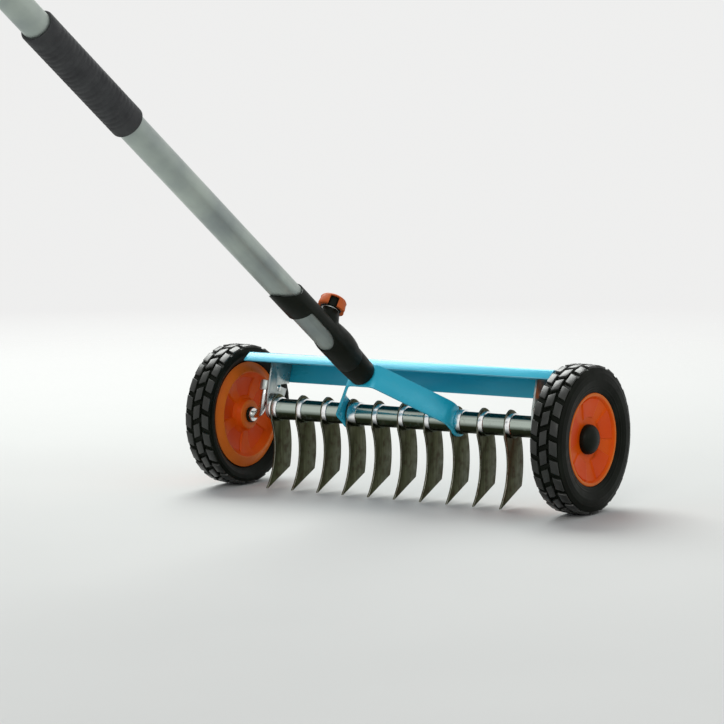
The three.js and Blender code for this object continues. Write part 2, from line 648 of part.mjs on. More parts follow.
function channelRivetHoles(side) {
  const bottom = PLATE_TOP - PLATE_THICKNESS - OVERRUN;
  const top = PLATE_TOP + CHANNEL_THICKNESS + OVERRUN;
  return rivetPlaces(side).map(([across, back]) => (
    turnedAboutZ(discProfile(bottom, top, RIVET_RADIUS + FIT), RIVET_SIDES).translate([across, back, 0])
  ));
}

function channelRivet([across, back]) {
  const start = PLATE_TOP - PLATE_THICKNESS;
  const end = PLATE_TOP + FIT + CHANNEL_THICKNESS;
  return turnedAboutZ(rivetProfile(start, end), RIVET_SIDES).translate([across, back, 0]);
}

// Folded channel over the knives: sloped front lip, flat top and deep rear flange
function channel() {
  const top = PLATE_TOP + FIT + CHANNEL_THICKNESS / 2;
  const rear = PLATE_REAR + FIT + CHANNEL_THICKNESS / 2;
  const line = roundedLine([
    [-CHANNEL_LIP_FRONT, CHANNEL_LIP_BOTTOM],
    [-CHANNEL_EDGE_FRONT, top],
    [rear, top],
    [rear, CHANNEL_REAR_BOTTOM],
  ], CHANNEL_BEND, CHANNEL_BEND_STEPS);
  const sheet = swept(stripShape(line, CHANNEL_THICKNESS), -CHANNEL_END, CHANNEL_END, ALONG_X);
  return cut(sheet, ...channelRivetHoles(1), ...channelRivetHoles(-1));
}

// Hollow tube that carries the knives, with its retaining rings outside the plates
function bladeShaft() {
  const end = PLATE_OUTER + SHAFT_OVERHANG;
  return turnedAboutX(ringProfile(-end, end, SHAFT_RADIUS, SHAFT_RADIUS - SHAFT_WALL), TUBE_SIDES);
}

function shaftRing() {
  const start = PLATE_OUTER + STACK_GAP;
  const profile = ringProfile(start, start + SHAFT_RING_THICKNESS, SHAFT_RING_RADIUS, SHAFT_RADIUS + FIT);
  return turnedAboutX(profile, TUBE_SIDES);
}

// Collar between the first knife and its side plate
function endCollar() {
  const start = -PLATE_INNER + STACK_GAP;
  const end = -PLATE_INNER + COLLAR_LENGTH - STACK_GAP;
  return turnedAboutX(ringProfile(start, end, SPACER_FLANGE_RADIUS, SHAFT_RADIUS + FIT), TUBE_SIDES);
}

// Spacer after a knife, flanged where the knife leans on it. Where an ear stands beside the knife, the
// flange starts outside the ear.
function spacer(index) {
  const start = knifePlace(index) + KNIFE_THICKNESS / 2 + STACK_GAP;
  const end = knifePlace(index + 1) - KNIFE_THICKNESS / 2 - STACK_GAP;
  const bore = SHAFT_RADIUS + FIT;
  const places = index - MIDDLE_KNIFE_INDEX;
  const flangeEnd = start + (Math.abs(places) === EAR_KNIFE_COUNT ? WIDE_FLANGE : SPACER_FLANGE);
  const profile = [[start, bore]];
  if (places === EAR_KNIFE_COUNT) {
    const flangeStart = knifePlace(index) + EAR_SETOUT + YOKE_THICKNESS / 2 + FIT;
    profile.push([start, SPACER_RADIUS], [flangeStart, SPACER_RADIUS], [flangeStart, SPACER_FLANGE_RADIUS]);
  } else {
    profile.push([start, SPACER_FLANGE_RADIUS]);
  }
  profile.push([flangeEnd, SPACER_FLANGE_RADIUS], [flangeEnd, SPACER_RADIUS]);
  profile.push([end, SPACER_RADIUS], [end, bore]);
  return turnedAboutX(profile, TUBE_SIDES);
}

// How far back an edge of the knife lies at a depth under the tube's axis
function bowedEdge(apex, bow, drop) {
  const off = drop - KNIFE_APEX_DROP;
  return apex - (bow - Math.sqrt(bow * bow - off * off));
}

// Knife: a round head on the tube and a bowed blade that ends in a forward tip
function knife(index) {
  const tipDrop = TUBE_HEIGHT - KNIFE_GROUND_GAP;
  const drops = (from, to) => Array.from(
    { length: KNIFE_EDGE_STEPS + 1 },
    (_, i) => from + ((to - from) * i) / KNIFE_EDGE_STEPS,
  );
  const frontNeck = [bowedEdge(-KNIFE_FRONT_APEX, KNIFE_FRONT_BOW, KNIFE_NECK_DROP), -KNIFE_NECK_DROP];
  const rearNeck = [bowedEdge(KNIFE_REAR_APEX, KNIFE_REAR_BOW, KNIFE_NECK_DROP), -KNIFE_NECK_DROP];
  const headFrom = 0;
  const headTo = Math.atan2(frontNeck[1], frontNeck[0]) + 2 * Math.PI;
  const front = drops(KNIFE_NECK_DROP, tipDrop).map((drop) => (
    [bowedEdge(-KNIFE_FRONT_APEX, KNIFE_FRONT_BOW, drop), -drop]
  ));
  const rear = drops(KNIFE_HEEL_DROP, KNIFE_NECK_DROP).map((drop) => (
    [bowedEdge(KNIFE_REAR_APEX, KNIFE_REAR_BOW, drop), -drop]
  ));
  const tip = [front[front.length - 1][0] + KNIFE_TIP_WIDTH, -tipDrop];
  const head = circlePoints(KNIFE_HEAD_RADIUS, headFrom, headTo, KNIFE_HEAD_STEPS);
  const outline = shapeOf([...head, ...front, tip, ...rear]);
  outline.holes.push(roundHole(0, 0, SHAFT_RADIUS + FIT, TUBE_SIDES));
  const place = knifePlace(index);
  return swept(outline, place - KNIFE_THICKNESS / 2, place + KNIFE_THICKNESS / 2, ALONG_X);
}

// Yoke and handle, built in the handle's own axes: X across, Y up from the pole, Z along it

// Ear at the end of the +X arm, square to the knife tube: it meets the tube from the front and ends in a
// hook that goes under and behind it
function yokeEar() {
  const hookStart = Math.PI - Math.asin(Math.sqrt(HOOK_RADIUS ** 2 - YOKE_BOTTOM ** 2) / HOOK_RADIUS);
  const hook = circlePoints(HOOK_RADIUS, HOOK_END, hookStart, HOOK_STEPS);
  const outline = shapeOf([
    [0, 0],
    ...hook,
    [-YOKE_BOTTOM, EAR_BEND_ALONG - YOKE_BEND],
    [YOKE_TOP, EAR_BEND_ALONG - YOKE_BEND],
    [YOKE_TOP, EAR_HORN_ALONG],
  ]);
  return swept(outline, EAR_ACROSS - YOKE_THICKNESS / 2, EAR_ACROSS + YOKE_THICKNESS / 2, ALONG_X);
}

// Half of the yoke on the +X side: half the web, the slanted arm and its ear
function yokeHalf() {
  const line = roundedLine([
    [YOKE_WEB_ALONG, 0],
    [YOKE_WEB_ALONG, YOKE_WEB_HALF],
    [EAR_BEND_ALONG, EAR_ACROSS],
    [EAR_HORN_ALONG, EAR_ACROSS],
  ], YOKE_BEND, YOKE_BEND_STEPS);
  const arm = swept(stripShape(line, YOKE_THICKNESS), -YOKE_BOTTOM, YOKE_TOP, ALONG_Y);
  const seatRadius = SPACER_RADIUS + EAR_CLEARANCE;
  const seat = discProfile(EAR_ACROSS - YOKE_THICKNESS, EAR_ACROSS + YOKE_THICKNESS, seatRadius);
  return cut(join(arm, yokeEar()), turnedAboutX(seat, POLE_SIDES));
}

function yoke() {
  const web = YOKE_WEB_ALONG;
  const hole = turnedAboutZ(discProfile(web - OVERRUN, web + OVERRUN, WEB_HOLE_RADIUS), RIVET_SIDES);
  const half = yokeHalf();
  return cut(join(half, half.mirror([1, 0, 0])), hole);
}

// Socket moulded on the tool: a tapered foot and the shank that the pole slides over
function toolSocket() {
  const shankTop = SOCKET_SHOULDER + SHANK_LENGTH;
  const bore = BOLT_RADIUS + FIT;
  const boreEnd = SOCKET_FOOT + BOLT_REACH + FIT;
  const profile = [
    [SOCKET_FOOT, bore],
    [SOCKET_FOOT, SOCKET_FOOT_RADIUS - SOCKET_FOOT_CHAMFER],
    [SOCKET_FOOT + SOCKET_FOOT_CHAMFER, SOCKET_FOOT_RADIUS],
    [SOCKET_SHOULDER, SOCKET_TOP_RADIUS],
    [SOCKET_SHOULDER, SHANK_RADIUS],
    [shankTop - SHANK_NOSE, SHANK_RADIUS],
    [shankTop, SHANK_RADIUS - SHANK_NOSE_DRAW],
    [shankTop, 0],
    [boreEnd, 0],
    [boreEnd, bore],
  ];
  return turnedAboutZ(profile, POLE_SIDES);
}

function socketBolt() {
  const seat = YOKE_WEB_ALONG - YOKE_THICKNESS / 2 - FIT;
  const head = turnedAboutZ(discProfile(seat - BOLT_HEAD_HEIGHT, seat, BOLT_HEAD_RADIUS), HEX_SIDES);
  const shank = turnedAboutZ(discProfile(seat - FIT, SOCKET_FOOT + BOLT_REACH, BOLT_RADIUS), RIVET_SIDES);
  return join(head, shank);
}

function screwHole(from) {
  return turnedAboutZ(discProfile(from, BOSS_TOP + OVERRUN, SCREW_HOLE_RADIUS), RIVET_SIDES)
    .rotate([-90, 0, 0]).translate([0, 0, BOSS_PLACE]);
}

// Cutter for a slanted tube end that rises from the top side to the underside and dips between them
function mouthCutter(end, slope, dip, radius) {
  const shares = [-1, -0.5, 0, 0.5, 1];
  const edge = shares.map((share) => [
    share * (radius + OVERRUN),
    end - (slope * (share + 1)) / 2 - dip * (1 - share * share),
  ]);
  const past = end + slope + OVERRUN;
  const outline = shapeOf([...edge, [radius + OVERRUN, past], [-radius - OVERRUN, past]]);
  return swept(outline, -radius - OVERRUN, radius + OVERRUN, ALONG_X);
}

// Window on the underside of the sleeve with round corners, as a wedge prism
function sleeveWindow() {
  const start = SLEEVE_FOOT + WINDOW_START;
  const end = start + WINDOW_LENGTH;
  const half = SLEEVE_RADIUS * Math.sin(WINDOW_HALF_ANGLE);
  const edge = -SLEEVE_RADIUS * Math.cos(WINDOW_HALF_ANGLE);
  const low = -SLEEVE_RADIUS - OVERRUN;
  const outline = shapeOf([
    [low, start],
    [edge - WINDOW_CORNER / 2, start],
    [edge, start + WINDOW_CORNER],
    [edge, end - WINDOW_CORNER / 2],
    [edge - WINDOW_CORNER / 2, end],
    [low, end + WINDOW_CORNER],
  ]);
  return swept(outline, -half - OVERRUN, half + OVERRUN, ALONG_X);
}

// Plastic sleeve clamped on the pole's foot, with a boss for the lock screw and a window below
function handleSleeve() {
  const end = SLEEVE_FOOT + SLEEVE_LENGTH;
  const inner = POLE_RADIUS + FIT;
  const profile = [
    [SLEEVE_FOOT, SHANK_RADIUS + FIT],
    [SLEEVE_FOOT, SLEEVE_FOOT_RADIUS],
    [SLEEVE_FOOT + SLEEVE_FLARE, SLEEVE_RADIUS],
    [end, SLEEVE_RADIUS],
    [end, inner],
    [SLEEVE_FOOT + SLEEVE_SEAT, inner],
    [SLEEVE_FOOT + SLEEVE_SEAT, SHANK_RADIUS + FIT],
  ];
  const tube = turnedAboutZ(profile, POLE_SIDES);
  const bore = turnedAboutZ(discProfile(SLEEVE_FOOT - OVERRUN, end, inner), POLE_SIDES);
  const boss = turnedAboutZ([
    [0, 0],
    [0, BOSS_FOOT_RADIUS],
    [POLE_RADIUS, BOSS_FOOT_RADIUS],
    [BOSS_TOP, BOSS_TOP_RADIUS],
    [BOSS_TOP, 0],
  ], BOSS_SIDES).rotate([-90, 0, 0]).translate([0, 0, BOSS_PLACE]);
  const mouth = mouthCutter(end, SLEEVE_MOUTH_SLOPE, SLEEVE_MOUTH_DIP, SLEEVE_RADIUS);
  return cut(join(tube, cut(boss, bore)), sleeveWindow(), screwHole(0), mouth);
}

function pole() {
  const profile = ringProfile(POLE_FOOT, POLE_FOOT + POLE_LENGTH, POLE_RADIUS, POLE_RADIUS - POLE_WALL);
  return cut(turnedAboutZ(profile, POLE_SIDES), screwHole(0));
}

// Pieces of the lock, turned about Z with Z = 0 on the pole's axis

function knobWasher() {
  const start = BOSS_TOP + FIT;
  const profile = ringProfile(start, start + WASHER_THICKNESS, WASHER_RADIUS, SCREW_HOLE_RADIUS);
  return turnedAboutZ(profile, BOSS_SIDES);
}

function knobFoot() {
  return BOSS_TOP + FIT + WASHER_THICKNESS + FIT;
}

function lockScrew() {
  const tip = SHANK_RADIUS + FIT;
  return turnedAboutZ(discProfile(tip, tip + SCREW_LENGTH, SCREW_RADIUS), RIVET_SIDES);
}

function knobCore() {
  const start = knobFoot();
  const socketEnd = SHANK_RADIUS + FIT + SCREW_LENGTH + FIT;
  const profile = [
    [start, SCREW_HOLE_RADIUS],
    [start, CORE_RADIUS],
    [start + CORE_HEIGHT, CORE_RADIUS],
    [start + CORE_HEIGHT, 0],
    [socketEnd, 0],
    [socketEnd, SCREW_HOLE_RADIUS],
  ];
  return turnedAboutZ(profile, BOSS_SIDES);
}

// Orange shell over the core, with pockets that show it
function lockKnob() {
  const start = knobFoot();
  const inner = CORE_RADIUS + FIT;
  const roof = start + CORE_HEIGHT + FIT;
  const shoulder = start + KNOB_HEIGHT - KNOB_SHOULDER;
  const shell = turnedAboutZ([
    [start, inner],
    [start, KNOB_RADIUS],
    [shoulder, KNOB_WAIST_RADIUS],
    [start + KNOB_HEIGHT - KNOB_SHOULDER / 4, KNOB_TOP_RADIUS],
    [start + KNOB_HEIGHT, KNOB_TOP_RADIUS / 2],
    [start + KNOB_HEIGHT, 0],
    [roof, 0],
    [roof, inner],
  ], KNOB_SIDES);
  const bottom = start + POCKET_BOTTOM;
  const pockets = Array.from({ length: POCKET_COUNT }, (_, i) => (
    swept(shapeOf([
      [0, bottom],
      [KNOB_RADIUS + OVERRUN, bottom],
      [KNOB_RADIUS + OVERRUN, bottom + POCKET_HEIGHT],
      [0, bottom + POCKET_HEIGHT],
    ]), -POCKET_WIDTH / 2, POCKET_WIDTH / 2, ALONG_X).rotate([0, 0, (360 * i) / POCKET_COUNT])
  ));
  return cut(shell, ...pockets);
}

// Soft sleeve for the lower hand, part way up the pole
function midGrip() {
  const start = POLE_FOOT + MID_GRIP_ALONG;
  const end = start + MID_GRIP_LENGTH;
  const inner = POLE_RADIUS + FIT;
  const swell = arcPoints((start + end) / 2, MID_GRIP_EDGE_RADIUS, MID_GRIP_LENGTH / 2,
    MID_GRIP_RADIUS - MID_GRIP_EDGE_RADIUS, -Math.PI / 2, Math.PI / 2, END_CAP_STEPS + 2);
  return turnedAboutZ([[start, inner], ...swell, [end, inner]], POLE_SIDES);
}

// End grip with shallow grooves
function endGrip() {
  const end = POLE_FOOT + POLE_LENGTH;
  const start = end - GRIP_LENGTH;
  const inner = POLE_RADIUS + FIT;
  const pitch = GRIP_LENGTH / (GRIP_GROOVES + 1);
  const profile = [[start, inner], [start, GRIP_EDGE_RADIUS], [start + pitch / 2, GRIP_RADIUS]];
  for (let i = 1; i <= GRIP_GROOVES; i += 1) {
    const middle = start + i * pitch;
    profile.push([middle - GRIP_GROOVE_WIDTH / 2, GRIP_RADIUS]);
    profile.push([middle, GRIP_RADIUS - GRIP_GROOVE_DEPTH]);
    profile.push([middle + GRIP_GROOVE_WIDTH / 2, GRIP_RADIUS]);
  }
  profile.push([end - pitch / 2, GRIP_RADIUS], [end, GRIP_EDGE_RADIUS], [end, inner]);
  return turnedAboutZ(profile, POLE_SIDES);
}

function endCap() {
  const seat = POLE_FOOT + POLE_LENGTH + FIT;
  const plug = POLE_RADIUS - POLE_WALL - FIT;
  const dome = arcPoints(seat, 0, END_CAP_HEIGHT, END_CAP_RADIUS, 0, Math.PI / 2, END_CAP_STEPS);
  const profile = [[seat - END_CAP_PLUG, 0], [seat - END_CAP_PLUG, plug], [seat, plug], ...dome];
  return turnedAboutZ(profile, POLE_SIDES);
}

// A named piece with its own finish
function piece(name, solid, finish) {
  const mesh = new THREE.Mesh(geometryOf(solid), new THREE.MeshStandardMaterial(finish));
  mesh.name = name;
  return mesh;
}

// Wheel, axle rod, clamp and side plate of one side. The left side is the right one turned half round
// for what is round, and mirrored for what is not.
function sideAssembly(label, side) {
  const group = new THREE.Group();
  const mirrored = (solid) => (side < 0 ? solid.mirror([1, 0, 0]) : solid);
  group.add(piece(`side_plate_${label}`, mirrored(sidePlate()), ZINC));
  group.add(piece(`axle_rod_${label}`, mirrored(axleRod()), BRIGHT_STEEL));
  group.add(piece(`axle_clamp_${label}`, mirrored(axleClamp()), ZINC));
  group.add(piece(`clamp_rivet_${label}`, mirrored(clampRivet()), BRIGHT_STEEL));
  const [front, rear] = rivetPlaces(side);
  group.add(piece(`channel_rivet_${label}_front`, channelRivet(front), BRIGHT_STEEL));
  group.add(piece(`channel_rivet_${label}_rear`, channelRivet(rear), BRIGHT_STEEL));
  const wheel = new THREE.Group();
  wheel.add(piece(`tyre_${label}`, tyre(), RUBBER));
  wheel.add(piece(`rim_${label}`, rim(), ORANGE_PLASTIC));
  wheel.add(piece(`hub_cap_${label}`, hubCap(), BLACK_PLASTIC));
  wheel.add(piece(`wheel_bush_${label}`, wheelBush(), BLACK_PLASTIC));
  wheel.add(piece(`axle_ring_${label}`, axleRing(), BRIGHT_STEEL));
  wheel.position.set(side * WHEEL_MIDDLE, AXLE_BACK, -AXLE_DROP);
  wheel.rotation.set(FRAME_LEAN, 0, side < 0 ? Math.PI : 0);
  group.add(wheel);
  return group;
}

function frameAssembly() {
  const group = new THREE.Group();
  group.add(piece('channel', channel(), BLUE_PAINT));
  group.add(sideAssembly('right', 1));
  group.add(sideAssembly('left', -1));
  group.rotation.x = -FRAME_LEAN;
  return group;
}

function knifeAssembly() {
  const group = new THREE.Group();
  group.add(piece('blade_shaft', bladeShaft(), ZINC));
  group.add(piece('shaft_ring_right', shaftRing(), BRIGHT_STEEL));
  group.add(piece('shaft_ring_left', shaftRing().mirror([1, 0, 0]), BRIGHT_STEEL));
  group.add(piece('end_collar', endCollar(), BRIGHT_STEEL));
  for (let index = 0; index < KNIFE_COUNT; index += 1) {
    group.add(piece(`knife_${index + 1}`, knife(index), KNIFE_STEEL));
    group.add(piece(`spacer_${index + 1}`, spacer(index), BRIGHT_STEEL));
  }
  return group;
}

function handleAssembly() {
  const group = new THREE.Group();
  group.add(piece('yoke', yoke(), BLUE_PAINT));
  group.add(piece('tool_socket', toolSocket(), BLACK_PLASTIC));
  group.add(piece('socket_bolt', socketBolt(), BRIGHT_STEEL));
  group.add(piece('handle_sleeve', handleSleeve(), BLACK_PLASTIC));
  group.add(piece('pole', pole(), ALUMINIUM));
  group.add(piece('mid_grip', midGrip(), GRIP_RUBBER));
  group.add(piece('end_grip', endGrip(), GRIP_RUBBER));
  group.add(piece('pole_end_cap', endCap(), BLACK_PLASTIC));
  const lock = new THREE.Group();
  lock.add(piece('lock_screw', lockScrew(), BRIGHT_STEEL));
  lock.add(piece('knob_washer', knobWasher(), ZINC));
  lock.add(piece('knob_core', knobCore(), BLACK_PLASTIC));
  lock.add(piece('lock_knob', lockKnob(), KNOB_ORANGE));
  lock.position.z = BOSS_PLACE;
  lock.rotation.x = -Math.PI / 2;
  group.add(lock);
  group.position.x = YOKE_MIDDLE;
  group.rotation.x = Math.PI / 2 - POLE_ANGLE;
  return group;
}

// The whole tool stands on Z = 0 with the middle of its plan over the origin
function scarifier() {
  const tool = new THREE.Group();
  tool.add(frameAssembly(), knifeAssembly(), handleAssembly());
  tool.updateMatrixWorld(true);
  const box = new THREE.Box3().setFromObject(tool, true);
  const middle = box.getCenter(new THREE.Vector3());
  tool.position.set(-middle.x, -middle.y, -box.min.z);
  const group = new THREE.Group();
  group.name = 'lawn_scarifier';
  group.add(tool);
  group.updateMatrixWorld(true);
  return group;
}

const group = scarifier();
export default group;
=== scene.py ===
"""Looks of the wheeled lawn scarifier: its pieces in detail, their finishes, the stage and the camera."""

import json
import logging
import math
from collections.abc import Callable, Iterator, Sequence
from contextlib import contextmanager
from dataclasses import dataclass
from enum import Enum

import bpy
from mathutils import Matrix, Vector

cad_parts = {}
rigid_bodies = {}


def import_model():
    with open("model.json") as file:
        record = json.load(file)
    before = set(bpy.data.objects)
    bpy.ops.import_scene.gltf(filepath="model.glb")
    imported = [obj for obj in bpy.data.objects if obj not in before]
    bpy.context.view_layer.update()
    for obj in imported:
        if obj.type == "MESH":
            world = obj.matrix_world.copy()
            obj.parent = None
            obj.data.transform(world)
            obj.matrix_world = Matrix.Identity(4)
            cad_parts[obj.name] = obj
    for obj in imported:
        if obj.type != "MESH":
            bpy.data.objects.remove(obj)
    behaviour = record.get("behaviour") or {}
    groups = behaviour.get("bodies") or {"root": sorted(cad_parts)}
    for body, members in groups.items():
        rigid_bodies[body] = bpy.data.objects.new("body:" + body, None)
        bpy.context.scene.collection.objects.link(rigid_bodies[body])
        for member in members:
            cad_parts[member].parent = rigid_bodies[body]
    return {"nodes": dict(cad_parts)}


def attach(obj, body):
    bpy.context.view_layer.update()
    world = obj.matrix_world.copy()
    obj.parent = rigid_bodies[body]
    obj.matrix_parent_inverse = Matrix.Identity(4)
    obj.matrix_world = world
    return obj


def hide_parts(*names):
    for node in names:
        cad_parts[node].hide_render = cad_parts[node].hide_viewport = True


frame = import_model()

LOG = logging.getLogger("lawn_scarifier")

MM = 0.001
FULL_TURN = 2 * math.pi
QUARTER_TURN = math.pi / 2
TURNED_SIDES = 64
FINE_SIDES = 96
KNOB_SIDES = 48
SMALL_SIDES = 32
MERGE_DISTANCE = 0.00001
EDGE_ANGLE = 32.0
SMOOTH_ANGLE = 38.0
FLAT_ANGLE = 0.5
FACING_SHARE = 0.8
NOISE_LOW = 0.3
NOISE_HIGH = 0.7
FIT_GAP = 0.1

Pair = tuple[float, float]
Triple = tuple[float, float, float]
Colour = tuple[float, float, float]
Profile = Sequence[Pair]
Piece = bpy.types.Object
Material = bpy.types.Material
Socket = bpy.types.NodeSocket


class Body(Enum):
    """Bodies of the tool that move by themselves."""

    FRAME = "frame"
    WHEEL_RIGHT = "wheel_right"
    WHEEL_LEFT = "wheel_left"
    YOKE = "yoke_body"
    HANDLE = "handle"
    WASHER = "washer"
    LOCK = "lock"


class Side(Enum):
    """The two sides of the tool, by the sign of X."""

    RIGHT = 1
    LEFT = -1

    @property
    def label(self) -> str:
        """The side's part in the names of its nodes."""
        return self.name.lower()


class Axis(Enum):
    """Axes that a profile can be turned about."""

    ACROSS = (1.0, 0.0, 0.0)
    UP = (0.0, 0.0, 1.0)

    def point(self, along: float, radius: float) -> Vector:
        """Place a profile point.

        Args:
            along: Millimetres along the axis.
            radius: Millimetres away from it.

        Returns:
            The place in metres.
        """
        if self is Axis.ACROSS:
            return Vector((along, 0, radius)) * MM
        return Vector((radius, 0, along)) * MM


class Part(Enum):
    """Parts of a mesh that can be selected."""

    CORNERS = "vertices"
    FACES = "polygons"


class Merge(Enum):
    """Ways to combine a piece with a tool."""

    CUT = "DIFFERENCE"
    WELD = "UNION"


@dataclass(frozen=True)
class Datum:
    """Places that the sub-assemblies share, in millimetres and degrees."""

    tube_back: float = 546.291
    tube_height: float = 83.733
    frame_lean: float = 18.0
    pole_angle: float = 35.8
    yoke_across: float = 2.75
    wheel_across: float = 211.0
    axle_back: float = 5.5
    axle_drop: float = 7.4
    plate_inner: float = 161.75
    plate_outer: float = 163.75
    first_knife: float = -157.25
    knife_pitch: float = 32.0
    knife_count: int = 10

    @property
    def tube(self) -> Vector:
        """Middle of the knife tube's axis."""
        return Vector((0, self.tube_back, self.tube_height))

    @property
    def axle(self) -> Vector:
        """Middle of the axle line in the frame's own axes."""
        return Vector((0, self.axle_back, -self.axle_drop))

    @property
    def frame_turn(self) -> Triple:
        """Turn of the frame's own axes."""
        return (-math.radians(self.frame_lean), 0, 0)

    @property
    def handle_turn(self) -> Triple:
        """Turn of the handle's own axes, whose Z runs up the pole."""
        return (QUARTER_TURN - math.radians(self.pole_angle), 0, 0)

    @property
    def handle_spot(self) -> Vector:
        """Where the handle's own axes start."""
        return self.tube + Vector((self.yoke_across, 0, 0))

    def wheel_spot(self, side: Side) -> Vector:
        """Middle of a wheel.

        Args:
            side: The wheel's side.

        Returns:
            The place in millimetres.
        """
        lean = math.radians(self.frame_lean)
        back = self.axle_back * math.cos(lean) - self.axle_drop * math.sin(lean)
        down = self.axle_back * math.sin(lean) + self.axle_drop * math.cos(lean)
        return self.tube + Vector((side.value * self.wheel_across, back, -down))

    def knife_place(self, index: int) -> float:
        """Middle plane of a knife, counted from the -X side."""
        return self.first_knife + index * self.knife_pitch


DATUM = Datum()


def arc(middle: Pair, radius: float, start: float, end: float, steps: int) -> Profile:
    """Points on a circular arc.

    Args:
        middle: Centre of the arc.
        radius: Its radius.
        start: First angle in degrees.
        end: Last angle in degrees.
        steps: Number of chords.

    Returns:
        The points, both ends included.
    """
    angles = [math.radians(start + (end - start) * i / steps) for i in range(steps + 1)]
    return [(middle[0] + radius * math.cos(a), middle[1] + radius * math.sin(a)) for a in angles]


def dome(foot: float, rise: float, radius: float, angles: Sequence[float]) -> Profile:
    """Profile points of a dome.

    Args:
        foot: Where it stands along its axis.
        rise: Its height, negative where it hangs.
        radius: Radius of its foot.
        angles: Degrees from foot to crown at which the points lie.

    Returns:
        Pairs of place along the axis and radius.
    """
    turns = [math.radians(angle) for angle in angles]
    return [(foot + rise * math.sin(turn), radius * math.cos(turn)) for turn in turns]


def barrel(start: float, end: float, outer: float, inner: float = 0.0) -> Profile:
    """Profile of a plain cylinder or ring.

    Args:
        start: Where it begins along its axis.
        end: Where it ends.
        outer: Its outer radius.
        inner: Its bore's radius, or 0 for none.

    Returns:
        Pairs of place along the axis and radius.
    """
    return [(start, inner), (start, outer), (end, outer), (end, inner)]


def lifted(profile: Profile, rise: float) -> Profile:
    """A profile moved along its axis."""
    return [(rise + along, radius) for along, radius in profile]


def off_axis(face: bpy.types.MeshPolygon) -> float:
    """Distance of a face's middle from the X axis, in millimetres."""
    return math.hypot(face.center.y, face.center.z) / MM


